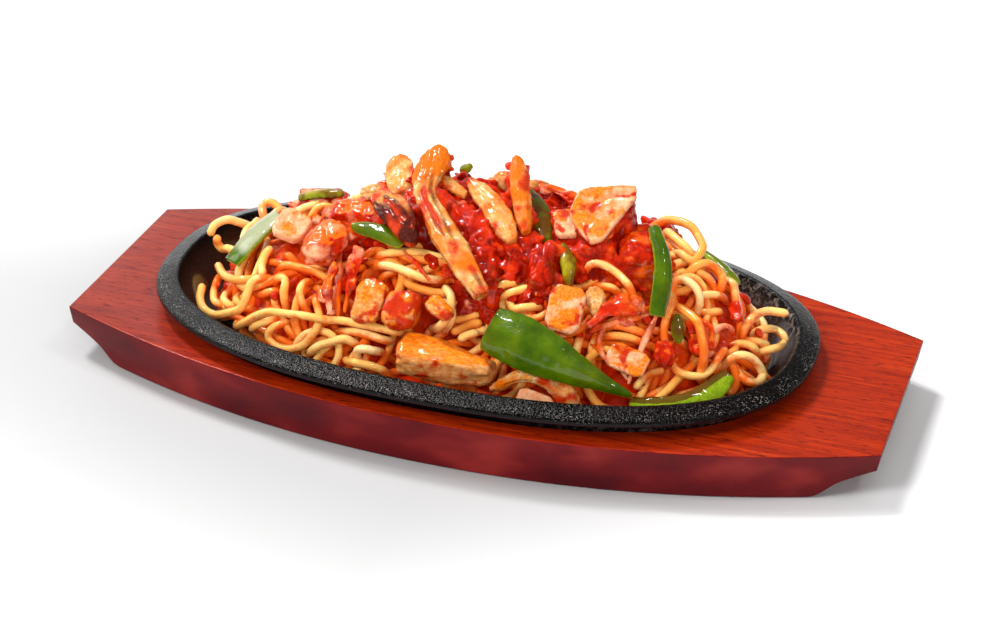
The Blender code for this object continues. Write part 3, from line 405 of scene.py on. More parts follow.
class Finish:
    """One material: a Principled shader and the nodes that feed it. Colours are six hex digits."""

    def __init__(self, name, **constants):
        self.material = bpy.data.materials.new(name)
        self.material.use_nodes = True
        self.tree = self.material.node_tree
        self.shader = self.tree.nodes["Principled BSDF"]
        self.place = self.node("ShaderNodeTexCoord", {}, {}, "Object")
        for socket, number in constants.items():
            self.shader.inputs[socket.replace("_", " ")].default_value = number

    def node(self, kind, settings, sockets, output=None):
        """Adds a node, sets it up, feeds its sockets, and gives one of its outputs."""
        made = self.tree.nodes.new(kind)
        for name, setting in settings.items():
            if name == "stops":
                self.set_stops(made.color_ramp, setting)
            else:
                setattr(made, name, setting)
        for name, value in sockets.items():
            socket = made.inputs[name] if isinstance(name, int) else self.find(made.inputs, name)
            self.feed(socket, value)
        found = self.find(made.outputs, output) if output else next(s for s in made.outputs if s.enabled)
        return Value(self, found)

    @staticmethod
    def find(sockets, name):
        return next(s for s in sockets if s.name == name and s.enabled)

    @staticmethod
    def set_stops(ramp, stops):
        while len(ramp.elements) < len(stops):
            ramp.elements.new(0.5)
        for element, (position, colour) in zip(ramp.elements, stops):
            element.position = position
            element.color = linear(colour)

    def feed(self, socket, value):
        if isinstance(value, Value):
            self.tree.links.new(value.socket, socket)
        else:
            socket.default_value = linear(value) if isinstance(value, str) else value

    def set(self, socket, value):
        self.feed(self.shader.inputs[socket], value)

    def attribute(self, name):
        return self.node("ShaderNodeAttribute", {"attribute_name": name}, {}, "Fac")

    def axis(self, vector, name):
        """X, Y or Z of a vector."""
        return self.node("ShaderNodeSeparateXYZ", {}, {"Vector": vector}, name)

    def upward(self):
        """How far the surface faces up: 1 on top, 0 on a wall, -1 below."""
        return self.axis(self.node("ShaderNodeNewGeometry", {}, {}, "Normal"), "Z")

    def stretched(self, scale):
        return self.node("ShaderNodeMapping", {}, {"Vector": self.place, "Scale": scale})

    def noise(self, size, detail=2.0, rough=0.5, place=None, distortion=0.0):
        """Smooth noise from 0 to 1 with features of a size in metres."""
        sockets = {"Vector": place or self.place, "Scale": 1 / size, "Detail": detail,
                   "Roughness": rough, "Distortion": distortion}
        return self.node("ShaderNodeTexNoise", {}, sockets, "Fac")

    def cells(self, size):
        """Distance to the nearest of scattered points, for pits and grains."""
        sockets = {"Vector": self.place, "Scale": 1 / size}
        return self.node("ShaderNodeTexVoronoi", {}, sockets, "Distance")

    def rise(self, value, low, high):
        """0 below low, 1 above high, and smooth between them."""
        sockets = {"Value": value, "From Min": low, "From Max": high}
        return self.node("ShaderNodeMapRange", {"interpolation_type": "SMOOTHSTEP"}, sockets, "Result")

    def mix(self, share, first, second):
        sockets = {"Factor": share, "A": first, "B": second}
        return self.node("ShaderNodeMix", {"data_type": "RGBA"}, sockets, "Result")

    def ramp(self, value, *stops):
        """A colour for a value, from stops of a position and a colour each."""
        return self.node("ShaderNodeValToRGB", {"stops": stops}, {"Fac": value}, "Color")

    def bump(self, height, depth, strength):
        sockets = {"Height": height, "Distance": depth, "Strength": strength}
        self.set("Normal", self.node("ShaderNodeBump", {}, sockets, "Normal"))


def moist(name, share, depth, tint, **constants):
    """The finish of food that some light sinks into: how much, how deep, and which colours farthest."""
    sunk = {"Subsurface_Weight": share, "Subsurface_Scale": depth, "Subsurface_Radius": tint}
    return Finish(name, **sunk, **constants)


def wood_finish():
    """Red-brown lacquered wood: grain and open pores on top, a painted reflection tint at the top's left
    end, plain dark lacquer on the sides.
    """
    wood = Finish("red_lacquered_wood", Coat_Roughness=0.2, Specular_IOR_Level=0.15)
    along = wood.stretched((0.07, 1.0, 1.0))
    streaks = wood.noise(3.0 * MM, 4, 0.6, along, 0.3)
    fine = wood.noise(1.1 * MM, 4, 0.65, along)
    pores = wood.rise(wood.noise(0.55 * MM, 2, 0.5, wood.stretched((0.11, 1.0, 1.0))), 0.60, 0.70)
    top = wood.ramp(streaks, (0.28, "7E1604"), (0.45, "9C2404"), (0.58, "B02E04"), (0.75, "C44410"))
    top = wood.mix(wood.rise(fine, 0.35, 0.7) * 0.55, top, "861C08")
    top = wood.mix(pores * 0.85, top, "350604")
    # Painted reflection: the left end of the top is painted darker and more purple, for the pinkish sheen
    # over darker wood there.
    left = wood.rise(-wood.axis(wood.place, "X"), 0.06, 0.14)
    top = wood.mix(left * 0.4, top, "5C1814")
    blotches = wood.noise(20 * MM, 3, 0.5, wood.stretched((0.5, 1.0, 1.0)))
    side = wood.ramp(blotches, (0.35, "4A0008"), (0.52, "64060C"), (0.68, "86201E"))
    level = wood.rise(wood.upward(), 0.35, 0.8)
    wood.set("Base Color", wood.mix(level, side, top))
    wood.set("Roughness", 0.38 + 0.2 * pores * level + 0.12 * fine)
    wood.set("Coat Weight", 0.1 + 0.18 * level * (1 - pores))
    wood.bump((1 - pores) * level + 0.7 * fine, 0.16 * MM, 0.8)
    return wood


def iron_finish():
    """Seasoned cast iron: nearly black and oily, with painted glints near the rim's edge and painted
    reflection streaks on its wet inner wall.
    """
    iron = Finish("seasoned_iron", Metallic=0.0, Specular_IOR_Level=0.16, Coat_Roughness=0.1)
    pebbles = iron.noise(0.9 * MM, 3, 0.6)
    grains = iron.cells(1.1 * MM)
    oily = iron.rise(iron.noise(12 * MM, 3), 0.4, 0.62)
    inner = iron.attribute("inner")
    rough = iron.attribute("rough")
    shade = iron.mix(iron.rise(pebbles, 0.35, 0.7), "000000", "080302")
    shade = iron.mix(inner * 0.7, shade, "40221A")
    # Painted glints: light specks on the tops of the surface's grains, thickest in the band near the rim's
    # outer edge; the same grains are real bumps too.
    clusters = iron.rise(iron.noise(9 * MM, 3, 0.6), 0.42, 0.6)
    crests_and_painted_glints = iron.rise(iron.noise(0.6 * MM, 2, 0.6), 0.58, 0.66) * (0.15 + 0.85 * clusters)
    shade = iron.mix(crests_and_painted_glints * (0.06 + 0.94 * iron.attribute("worn")), shade, "D0C4BC")
    # Painted reflection: pale streaks on the wet inner wall, towards the plate's right end.
    wet = iron.rise(iron.noise(2.4 * MM, 3, 0.7), 0.45, 0.7) * iron.attribute("wet")
    shade = iron.mix(wet * 0.8, shade, "D8C4B8")
    iron.set("Base Color", iron.mix(iron.attribute("outer") * 0.8, shade, "1C1216"))
    iron.set("Roughness", 0.15 - 0.05 * oily * rough + 0.1 * iron.noise(2.5 * MM, 3))
    iron.set("Coat Weight", (0.9 * inner).held())
    iron.bump((pebbles - grains * 0.5 + 0.5 * crests_and_painted_glints) * rough, 0.34 * MM, 1.0)
    return iron


def noodle_finish():
    """Boiled noodles turned orange by a thin film of tomato sauce, wet all over, with painted shade: more
    orange on their sides than on their tops.
    """
    noodle = moist("sauced_noodle", 0.15, 1.2 * MM, (1.0, 0.4, 0.12),
                   Coat_Roughness=0.06, Specular_IOR_Level=0.12)
    sauce = noodle.attribute("sauce")
    mottle = noodle.noise(3.2 * MM, 3, 0.6)
    flecks = noodle.noise(1.0 * MM, 3, 0.65)
    base = noodle.ramp(noodle.attribute("tone"), (0.0, "F8A040"), (0.5, "FFCA70"), (1.0, "FFE6A8"))
    # Painted shade: the sides and undersides of each noodle are painted more orange than its top, on top of
    # the sauce stains.
    upward = noodle.rise(noodle.upward(), -0.3, 0.9)
    sauce_and_side_shade = noodle.rise(sauce + 0.55 * mottle + 0.35 * flecks + 0.26 * (1 - upward), 0.5, 1.0)
    deep = noodle.rise(sauce + 0.4 * mottle, 0.85, 1.3)
    noodle.set("Base Color", noodle.mix(deep, noodle.mix(sauce_and_side_shade, base, "EC6816"), "B82600"))
    noodle.set("Roughness", 0.4 - 0.12 * sauce_and_side_shade)
    noodle.set("Coat Weight", (0.3 + 1.9 * mottle * mottle).held())
    noodle.bump(flecks + 0.6 * mottle, 0.16 * MM, 0.7)
    return noodle


def sauce_finish():
    """Tomato sauce between the noodles: deep red and wet."""
    sauce = moist("tomato_sauce", 0.15, 1.5 * MM, (1.0, 0.2, 0.1),
                  Coat_Roughness=0.07, Coat_Weight=0.7, Specular_IOR_Level=0.1)
    clots = sauce.noise(3.5 * MM, 4, 0.6)
    tone = 0.75 * clots + 0.55 * sauce.attribute("tone")
    red = sauce.ramp(tone, (0.3, "8A1000"), (0.5, "BC2000"), (0.7, "D03404"), (0.95, "E25814"))
    sauce.set("Base Color", red)
    sauce.set("Roughness", 0.3 + 0.2 * clots)
    sauce.bump(clots, 0.6 * MM, 0.8)
    return sauce


def tomato_finish():
    """Stewed tomato: wet red flesh, orange in places, with pale veins."""
    tomato = moist("stewed_tomato", 0.12, 1.5 * MM, (1.0, 0.25, 0.08),
                   Coat_Roughness=0.06, Coat_Weight=0.65, Specular_IOR_Level=0.05)
    flesh = tomato.noise(4 * MM, 4, 0.6, None, 0.8)
    veins = tomato.noise(1.2 * MM, 3, 0.6, tomato.stretched((1.0, 0.6, 0.8)), 1.5)
    tone = 0.62 * flesh + 0.22 * veins + 0.5 * tomato.attribute("tone") - 0.08
    red = tomato.ramp(tone, (0.2, "6C0800"), (0.4, "A81600"), (0.6, "D02600"), (0.88, "EA5418"))
    orange = tomato.rise(tomato.attribute("orange") + 0.4 * veins, 0.35, 1.0)
    pale = tomato.rise(tomato.attribute("pale") + 0.5 * veins, 0.6, 1.15)
    tomato.set("Base Color", tomato.mix(pale, tomato.mix(orange, red, "EC6410"), "FAB084"))
    tomato.set("Roughness", 0.25 + 0.2 * veins)
    tomato.bump(flesh * 1.2 + veins * 0.8, 0.4 * MM, 0.8)
    return tomato


def pepper_finish():
    """Green pepper: glossy skin, paler juicy cut edges."""
    pepper = moist("green_pepper", 0.05, 1.0 * MM, (0.5, 1.0, 0.2),
                   Coat_Roughness=0.04, Coat_Weight=0.65, Specular_IOR_Level=0.1)
    skin = pepper.noise(8 * MM, 3, 0.5)
    pits = pepper.noise(0.8 * MM, 2, 0.5)
    green = pepper.ramp(skin, (0.3, "304800"), (0.52, "425E00"), (0.75, "5A7200"))
    green = pepper.mix(pepper.attribute("yellow"), green, "A89A10")
    green = pepper.mix(pepper.attribute("pale"), green, "A4A884")
    cut = pepper.attribute("cut")
    shade = pepper.mix(cut, green, pepper.ramp(pits, (0.3, "6E9404"), (0.7, "9CB01C")))
    sauce = pepper.rise(pepper.attribute("sauce") + 0.5 * pepper.noise(3 * MM, 3), 0.5, 0.9)
    pepper.set("Base Color", pepper.mix(sauce * 0.85, shade, "5A2404"))
    pepper.set("Roughness", 0.25 + 0.25 * cut)
    pepper.bump(pits + 1.2 * skin, 0.22 * MM, 0.9)
    return pepper


def mushroom_finish():
    """Mushroom: cream stems with painted shade in their grooves, dark brown on the brown one, stained
    orange by the sauce.
    """
    mushroom = moist("sauteed_mushroom", 0.15, 1.5 * MM, (1.0, 0.6, 0.35),
                     Coat_Roughness=0.08, Coat_Weight=0.4, Specular_IOR_Level=0.12)
    mottle = mushroom.noise(2.4 * MM, 4, 0.65)
    fibres = mushroom.noise(0.7 * MM, 3, 0.65)
    shade = mushroom.ramp(mottle, (0.3, "DC7E2C"), (0.5, "F0AC5C"), (0.7, "FBDFB0"))
    orange = mushroom.rise(mushroom.attribute("orange") + 0.5 * mottle, 0.45, 1.0)
    shade = mushroom.mix(orange, shade, "E87004")
    # Painted shade in the grooves and seams, and the brown mushroom's own dark brown
    shade = mushroom.mix(mushroom.attribute("dark"), shade, "4C0E02")
    sauce = mushroom.rise(mushroom.attribute("sauce") + 0.6 * mottle, 0.55, 1.0)
    mushroom.set("Base Color", mushroom.mix(sauce, shade, "CE360A"))
    mushroom.set("Roughness", 0.4 - 0.15 * sauce)
    mushroom.bump(mottle + fibres, 0.8 * MM, 0.9)
    return mushroom


def meat_finish(name, pale, warm, grain):
    """Ham or chicken: pale flesh with fibres, orange glaze in patches and red sauce where it clings."""
    meat = moist(name, 0.12, 1.2 * MM, (1.0, 0.5, 0.3), Coat_Roughness=0.1, Specular_IOR_Level=0.12)
    mottle = meat.noise(3.0 * MM, 4, 0.6)
    fine = meat.noise(0.9 * MM, 3, 0.65, meat.stretched(grain), 0.5)
    flesh = meat.mix(meat.rise(mottle + 0.5 * fine, 0.45, 0.95), pale, warm)
    glaze = meat.rise(meat.attribute("glaze") + 0.5 * mottle + 0.3 * fine, 0.62, 1.05)
    flesh = meat.mix(glaze, flesh, meat.mix(meat.rise(fine, 0.35, 0.65), "F08A1C", "E06408"))
    sauce = meat.rise(meat.attribute("sauce") + 0.5 * mottle + 0.3 * fine, 0.72, 1.05)
    meat.set("Base Color", meat.mix(sauce, flesh, "C22C04"))
    meat.set("Roughness", 0.42 - 0.18 * glaze)
    meat.set("Coat Weight", (0.2 + 0.3 * glaze + 0.3 * sauce).held())
    meat.bump(mottle + 1.1 * fine, 0.4 * MM, 0.9)
    return meat


# ---------------------------------------------------------------- meshes


def link(name, data):
    """A new object in the scene."""
    made = bpy.data.objects.new(name, data)
    bpy.context.scene.collection.objects.link(made)
    return made


def mesh_of(name, vertices, faces):
    """A new mesh, not yet in the scene."""
    mesh = bpy.data.meshes.new(name)
    mesh.from_pydata(np.asarray(vertices).tolist(), [], faces)
    return mesh


def add_piece(name, vertices, faces, finish, slot, *nodes):
    """A smooth mesh piece that rides on the part and stands for some nodes."""
    mesh = mesh_of(name, vertices, faces)
    mesh.shade_smooth()
    return dress(link(name, mesh), finish, slot, *nodes)


def dress(piece, finish, slot, *nodes):
    """Gives a piece its finish and body, and the nodes that it replaces; its slot is not used."""
    piece.data.materials.clear()
    piece.data.materials.append(finish.material)
    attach(piece, BODY)
    if nodes:
        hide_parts(*nodes)
    return piece


def paint(piece, name, values):
    """Keeps one number for each vertex, for the piece's finish to read."""
    values = np.broadcast_to(np.asarray(values, np.float32), len(piece.data.vertices))
    layer = piece.data.attributes.new(name, "FLOAT", "POINT")
    layer.data.foreach_set("value", np.ascontiguousarray(values))


def read(items, kind, width=3):
    """One property of all the vertices or faces of a mesh, a row for each."""
    found = np.zeros(len(items) * width)
    items.foreach_get(kind, found)
    return found.reshape(-1, width)


def points_of(piece):
    return read(piece.data.vertices, "co")


def normals_of(piece):
    return read(piece.data.vertices, "normal")


def move_to(piece, points):
    """Moves all the vertices of a piece to new places."""
    piece.data.vertices.foreach_set("co", np.asarray(points, np.float64).ravel())
    piece.data.update()


def apply_modifiers(piece):
    """Turns what a piece's modifiers make into its own mesh."""
    graph = bpy.context.evaluated_depsgraph_get()
    graph.update()
    whole = bpy.data.meshes.new_from_object(piece.evaluated_get(graph))
    piece.modifiers.clear()
    piece.data = whole


def solids_of(nodes):
    """The solids of some nodes in one editable mesh, which the caller frees."""
    solids = bmesh.new()
    for node in nodes:
        solids.from_mesh(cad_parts[node].data)
    return solids


def search_tree(nodes):
    """A tree for finding the surface of some nodes' solids."""
    solids = solids_of(nodes)
    tree = BVHTree.FromBMesh(solids)
    solids.free()
    return tree


def unit(vectors):
    """The vectors, each made 1 long."""
    return vectors / np.maximum(np.linalg.norm(vectors, axis=-1, keepdims=True), 1e-9)


def step(values, low, high):
    """0 below low, 1 above high, and smooth between them."""
    t = np.clip((values - low) / (high - low), 0, 1)
    return t * t * (3 - 2 * t)


def band(values, middle, spread):
    """1 at the middle, falling off smoothly on both sides."""
    return np.exp(-(((values - middle) / spread) ** 2))


def lumps(points, size, seed=0):
    """Smooth random values from -1 to 1 with features of a size."""
    place = points / size + 31.7 * (seed + 1)
    cell = np.floor(place).astype(np.int64)
    part = place - cell
    part = part * part * (3 - 2 * part)
    total = np.zeros(len(points))
    for corner in itertools.product((0, 1), repeat=3):
        at = cell + np.array(corner)
        key = at[:, 0] * 73856093 ^ at[:, 1] * 19349663 ^ at[:, 2] * 83492791
        key = (key * (key * key * 15731 + 789221) + 1376312589) & 0x7FFFFFFF
        share = np.prod(np.where(np.array(corner) == 1, part, 1 - part), axis=1)
        total += share * (key / 0x3FFFFFFF - 1)
    return total


def patches(points, size, seed):
    """Lumps with smaller lumps on them."""
    return lumps(points, size, seed) + 0.5 * lumps(points, size * 0.45, seed + 1)


def creases(points, size, seed):
    """1 along thin winding lines, and near 0 elsewhere."""
    return (1 - np.abs(lumps(points, size, seed))) ** 5


def rounded(corners, count=5):
    """A profile's points with each corner rounded off, from its own distance on either side."""
    points = [corners[0][:2]]
    for before, here, after in zip(corners, corners[1:], corners[2:]):
        near, at, far = Vector(before[:2]), Vector(here[:2]), Vector(after[:2])
        start = at.lerp(near, min(0.45, here[2] / (near - at).length))
        stop = at.lerp(far, min(0.45, here[2] / (far - at).length))
        for i in range(count):
            t = i / (count - 1)
            points.append(tuple(start.lerp(at, t).lerp(at.lerp(stop, t), t)))
    return points + [corners[-1][:2]]


def closed_rings(rings):
    """Quads between rings of equal length, with the first and last ring closed at their middles."""
    count = len(rings[0])
    vertices = [point for ring in rings for point in ring]
    faces = []
    for level in range(len(rings) - 1):
        for i in range(count):
            j = (i + 1) % count
            a, b = level * count, (level + 1) * count
            faces.append((a + i, a + j, b + j, b + i))
    last = (len(rings) - 1) * count
    vertices += [np.mean(rings[0], axis=0), np.mean(rings[-1], axis=0)]
    for i in range(count):
        j = (i + 1) % count
        faces.append((j, i, len(vertices) - 2))
        faces.append((last + i, last + j, len(vertices) - 1))
    return vertices, faces


# ---------------------------------------------------------------- plate and board


def plate_place():
    """The plate's centre in plan, half its length and half its width."""
    low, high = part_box("iron_plate")
    centre = (low + high) / 2
    return (centre.x, centre.y), (high.x - low.x) / 2, (high.y - low.y) / 2


def superoval(centre, half_length, half_width, height, steps):
    """A ring in the plate's shape, a little fuller than an ellipse."""
    angles = math.tau * np.arange(steps) / steps
    across, up = np.cos(angles), np.sin(angles)
    x = centre[0] + half_length * np.sign(across) * np.abs(across) ** (2 / PLATE_OVAL)
    y = centre[1] + half_width * np.sign(up) * np.abs(up) ** (2 / PLATE_OVAL)
    return np.stack([x, y, np.full(steps, height)], axis=1)


def make_plate():
    """The cast plate, with the bands of its surface that differ painted on, painted glints and painted
    reflections among them.
    """
    centre, half_length, half_width = plate_place()
    rings, insets = [], []
    for inset, up in rounded(PLATE_PROFILE):
        inset = max(inset, 0.05)
        size = (half_length - inset * MM, half_width - inset * MM)
        rings.append(superoval(centre, *size, up * MM, PLATE_STEPS))
        insets += [inset] * PLATE_STEPS
    vertices, faces = closed_rings(rings)
    vertices = np.array(vertices)
    plate = add_piece("cast_iron_plate", vertices, faces, iron_finish(), "iron", "iron_plate")
    insets = np.array(insets + [insets[0], insets[-1]])
    height = vertices[:, 2] / MM
    warp = PLATE_WARP * lumps(vertices, 22 * MM) * (height > 10)
    vertices[:, 2] += np.minimum(warp, 0)
    move_to(plate, vertices)
    order = np.arange(len(vertices)) // PLATE_STEPS
    highest = int(np.argmax(height)) // PLATE_STEPS
    outer = np.clip(RIM_EDGE - height, 0, 1) * (order < highest)
    paint(plate, "inner", np.clip((insets - WALL_START) / 3, 0, 1) * (order >= highest))
    paint(plate, "outer", outer)
    paint(plate, "rough", 1 - 0.75 * outer)
    # Painted glints near the rim's outer edge, and painted reflections on the right part of the inner wall
    paint(plate, "worn", band(insets, *RIM_GLINTS) * (1 - outer))
    paint(plate, "wet", band(insets, *WALL_REFLECTIONS) * step(vertices[:, 0], 20 * MM, 60 * MM))


def board_ring(inset, height):
    """A ring in the board's shape, from one long side to the other."""
    low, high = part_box("underliner_board")
    half_length, middle_width = (high.x - low.x) / 2 - inset, high.y - low.y
    points = []
    for side in (-1, 1):
        for i in range(BOARD_STEPS + 1):
            along = 2 * i / BOARD_STEPS - 1
            width = BOARD_END_WIDTH + (middle_width - BOARD_END_WIDTH) * (1 - abs(along) ** BOARD_BOW)
            points.append((-side * along * half_length, side * (width / 2 - inset), height))
    return np.array(points)


def face_outward(mesh):
    """Turns the faces of a closed mesh outward."""
    bm = bmesh.new()
    bm.from_mesh(mesh)
    bmesh.ops.recalc_face_normals(bm, faces=bm.faces)
    bm.to_mesh(mesh)
    bm.free()


def cut_away(board, rings):
    """Takes the closed body over some rings away from the board, and removes the cutter."""
    tool = link("cutter", mesh_of("cutter", *closed_rings(rings)))
    face_outward(tool.data)
    cut = board.modifiers.new("cut", "BOOLEAN")
    cut.operation = "DIFFERENCE"
    cut.object = tool
    apply_modifiers(board)
    bpy.data.objects.remove(tool)


def make_board():
    """The board, with the recess that the plate sits in and a finger cove under each end."""
    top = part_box("underliner_board")[1].z
    corners = ((BOARD_CLOSE, 0.0), (BOARD_DRAFT, 0.0), (0.0, top), (BOARD_CLOSE, top))
    levels = rounded([(*corner, BOARD_EDGE) for corner in corners])
    vertices, faces = closed_rings([board_ring(inset, height) for inset, height in levels])
    board = add_piece("wooden_board", vertices, faces, wood_finish(), "wood", "underliner_board")
    face_outward(board.data)
    centre, half_length, half_width = plate_place()
    size = (half_length - RECESS_INSET, half_width - RECESS_INSET)
    cut_away(board, [superoval(centre, *size, height, RECESS_STEPS) for height in (RECESS_FLOOR, 2 * top)])
    cove = rounded([(*point, COVE_ROUND) for point in COVE_PROFILE], 4) + [(60, 14), (60, -10), (0, -10)]
    for side in (-1, 1):
        profile = [(side * (COVE_START + out * MM), up * MM) for out, up in cove]
        cut_away(board, [[(x, y, z) for x, z in profile] for y in (-120 * MM, 120 * MM)])
    board.data.set_sharp_from_angle(angle=math.radians(38))


# ---------------------------------------------------------------- noodles


class Field:
    """Signed distance to the solids of some nodes, kept on a grid: negative inside."""

    def __init__(self, nodes, spacing, reach, blur=0):
        tree = search_tree(nodes)
        corners = np.vstack([points_of(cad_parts[node]) for node in nodes])
        self.spacing = spacing
        self.low = corners.min(0) - reach
        self.shape = np.ceil((corners.max(0) + reach - self.low) / spacing).astype(int) + 1
        axes = [self.low[i] + spacing * np.arange(self.shape[i]) for i in range(3)]
        grid = np.stack(np.meshgrid(*axes, indexing="ij"), axis=-1).reshape(-1, 3)
        values = np.full(len(grid), reach)
        for i, point in enumerate(grid.tolist()):
            hit, normal, _, distance = tree.find_nearest(point, reach)
            if hit is not None:
                outward = (point[0] - hit.x) * normal.x + (point[1] - hit.y) * normal.y
                outward += (point[2] - hit.z) * normal.z
                values[i] = math.copysign(distance, outward)
        self.values = self.filled(values.reshape(self.shape), reach)
        for _ in range(blur):
            for axis in range(3):
                padded = np.pad(self.values, [(1, 1) if i == axis else (0, 0) for i in range(3)], "edge")
                before, after = (np.take(padded, range(s, s + self.shape[axis]), axis) for s in (0, 2))
                self.values = (before + 2 * self.values + after) / 4
        self.slopes = np.stack(np.gradient(self.values, spacing), axis=-1)

    @staticmethod
    def filled(values, reach):
        """Cells too deep for the search, walled in on both sides along Z, count as deep inside."""
        inside = values < 0
        below = np.maximum.accumulate(inside, axis=2)
        above = np.maximum.accumulate(inside[:, :, ::-1], axis=2)[:, :, ::-1]
        return np.where((values >= reach) & below & above, -reach, values)

    def at(self, points):
        """Distance and outward direction at some points."""
        place = np.clip((points - self.low) / self.spacing, 0, self.shape - 1.001)
        cell = place.astype(int)
        part = place - cell
        value, slope = 0.0, 0.0
        for corner in itertools.product((0, 1), repeat=3):
            share = np.prod(np.where(np.array(corner) == 1, part, 1 - part), axis=1)
            index = tuple((cell + np.array(corner)).T)
            value = value + share * self.values[index]
            slope = slope + share[:, None] * self.slopes[index]
        return value, unit(slope)


def smooth_route(points, spacing):
    """Evenly spaced points in metres on a Catmull-Rom curve through points in mm."""
    points = np.array(points) * MM
    padded = np.vstack([2 * points[0] - points[1], points, 2 * points[-1] - points[-2]])
    t = np.linspace(0, 1, 24, endpoint=False)[:, None]
    fine = []
    for a, b, c, d in zip(padded, padded[1:], padded[2:], padded[3:]):
        cubic = (3 * b - a - 3 * c + d) * t**3
        fine.append(0.5 * (2 * b + (c - a) * t + (2 * a - 5 * b + 4 * c - d) * t**2 + cubic))
    fine = np.vstack(fine + [points[-1:]])
    walked = np.concatenate([[0], np.cumsum(np.linalg.norm(np.diff(fine, axis=0), axis=1))])
    places = np.linspace(0, walked[-1], max(4, round(walked[-1] / spacing) + 1))
    return np.stack([np.interp(places, walked, fine[:, i]) for i in range(3)], axis=1)


def heap_starts(rng, count):
    """Places spread evenly over the sides and top of the heap."""
    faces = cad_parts["noodles"].data.polygons
    areas = read(faces, "area", 1)[:, 0] * (read(faces, "normal")[:, 2] > -0.1)
    picked = rng.choice(len(faces), count, p=areas / areas.sum())
    return read(faces, "center")[picked]


def soaked(points, tomatoes):
    """How deep the sauce stands at some points of the heap, from 0 to 1."""
    near = 1 - tomatoes.at(points)[0] / (10 * MM)
    return step(patches(points, 20 * MM, 40) + 1.1 * np.clip(near, 0, 1), 0.15, 1.0)


def sway(station, noodle):
    """How a noodle rises and sinks on its way, from -1 to 1, each at its own pace."""
    return np.sin(station * 0.13 + noodle * 2.1)


def wander(rng, heap, pulp, depths, stations):
    """Noodles that wander at their own depth below the heap's surface, in loose bundles and curls."""
    count = len(depths)
    place = heap_starts(rng, count)
    heading = unit(rng.normal(size=(count, 3)))
    curl = rng.uniform(-1, 1, count)
    calm = rng.uniform(0.0, 0.3, count)
    route = []
    for station in range(stations):
        distance, outward = heap.at(place)
        depth = depths * MM + NOODLE_SWAY * MM * sway(station, np.arange(count))
        depth = depth - NOODLE_SINK[0] * np.clip(1 - pulp.at(place)[0] / NOODLE_SINK[1], 0, 1)
        place = place + (depth - distance)[:, None] * outward * 0.7
        route.append(place)
        curl = np.clip(curl + rng.uniform(-0.2, 0.2, count), -1, 1)
        bend = (1.1 * curl**3 + 0.3 * curl) / NOODLE_BEND
        heading = unit(heading - np.sum(heading * outward, axis=1, keepdims=True) * outward)
        across = unit(np.cross((0.0, 0.0, 1.0), outward))
        turn = math.pi * lumps(place, NOODLE_BUNDLE, 7)[:, None]
        bundle = np.cos(turn) * across + np.sin(turn) * np.cross(outward, across)
        bundle = bundle * np.sign(np.sum(bundle * heading, axis=1, keepdims=True))
        heading = heading + bundle * (calm * (1 - np.abs(curl)))[:, None]
        heading = heading + np.cross(outward, heading) * (bend * NOODLE_STATION)[:, None]
        low = np.clip((NOODLE_LOW[0] - place[:, 2]) / NOODLE_LOW[1], 0, 1)
        heading[:, 2] = np.maximum(heading[:, 2], np.where(low > 0, low - 0.85, -2))
        heading = unit(heading)
        place = place + heading * NOODLE_STATION
    return np.stack(route, axis=1)


def near_pairs(points, reach):
    """Every two points nearer to each other than reach."""
    cells = np.floor(points / reach).astype(np.int64)
    cells -= cells.min(0) - 1
    size = cells.max(0) + 2
    key = (cells[:, 0] * size[1] + cells[:, 1]) * size[2] + cells[:, 2]
    order = np.argsort(key, kind="stable")
    ranked = key[order]
    firsts, seconds = [], []
    for shift in itertools.product((-1, 0, 1), repeat=3):
        offset = (shift[0] * size[1] + shift[1]) * size[2] + shift[2]
        if offset < 0:
            continue
        start = np.searchsorted(ranked, key + offset, "left")
        count = np.searchsorted(ranked, key + offset, "right") - start
        first = np.repeat(np.arange(len(points)), count)
        rank = np.arange(len(first)) - np.repeat(np.cumsum(count) - count, count)
        second = order[np.repeat(start, count) + rank]
        if offset == 0:
            keep = first < second
            first, second = first[keep], second[keep]
        firsts.append(first)
        seconds.append(second)
    first, second = np.concatenate(firsts), np.concatenate(seconds)
    near = np.linalg.norm(points[first] - points[second], axis=1) < reach
    return first[near], second[near]


def push_apart(points, tangents, outward, noodle, station, height, free):
    """How far each station has to move so that no two noodles share a place."""
    width = 2 * NOODLE_RADIUS
    first, second = near_pairs(points, width)
    own = (noodle[first] == noodle[second]) & (np.abs(station[first] - station[second]) < 5)
    first, second = first[~own], second[~own]
    gap = points[first] - points[second]
    distance = np.linalg.norm(gap, axis=1)
    normal = unit(outward[first] + outward[second])
    over = np.sum(gap * normal, axis=1)
    beside = np.linalg.norm(gap - over[:, None] * normal, axis=1)
    across = 1 - np.abs(np.sum(tangents[first] * tangents[second], axis=1))
    across = np.clip(across * 4, 0, 1)
    way = np.where(height[first] >= height[second], 1.0, -1.0)
    wanted = way * np.sqrt(np.maximum(0, width**2 - beside**2))
    lift = way * np.maximum(0, way * (wanted - over)) * across
    slide = (np.maximum(0, width - distance) / np.maximum(distance, 1e-6) * (1 - across))[:, None] * gap
    push = lift[:, None] * normal + slide
    total = np.zeros_like(points)
    met = np.zeros(len(points))
    for mine, other, sign in ((first, second, 1), (second, first, -1)):
        share = free[mine] / np.maximum(free[mine] + free[other], 1e-6)
        for axis in range(3):
            total[:, axis] += np.bincount(mine, sign * share * push[:, axis], len(points))
        met += np.bincount(mine, minlength=len(points))
    return total / np.maximum(1, 0.6 * met)[:, None]


def along_rows(values, mask):
    """Each row's values, smoothed along the row within its mask."""
    left = np.concatenate([values[:, :1], values[:, :-1]], axis=1)
    right = np.concatenate([values[:, 1:], values[:, -1:]], axis=1)
    near = np.concatenate([mask[:, 1:], np.zeros_like(mask[:, :1])], axis=1)
    right = np.where(near[..., None], right, values)
    return (left + 2 * values + right) / 4


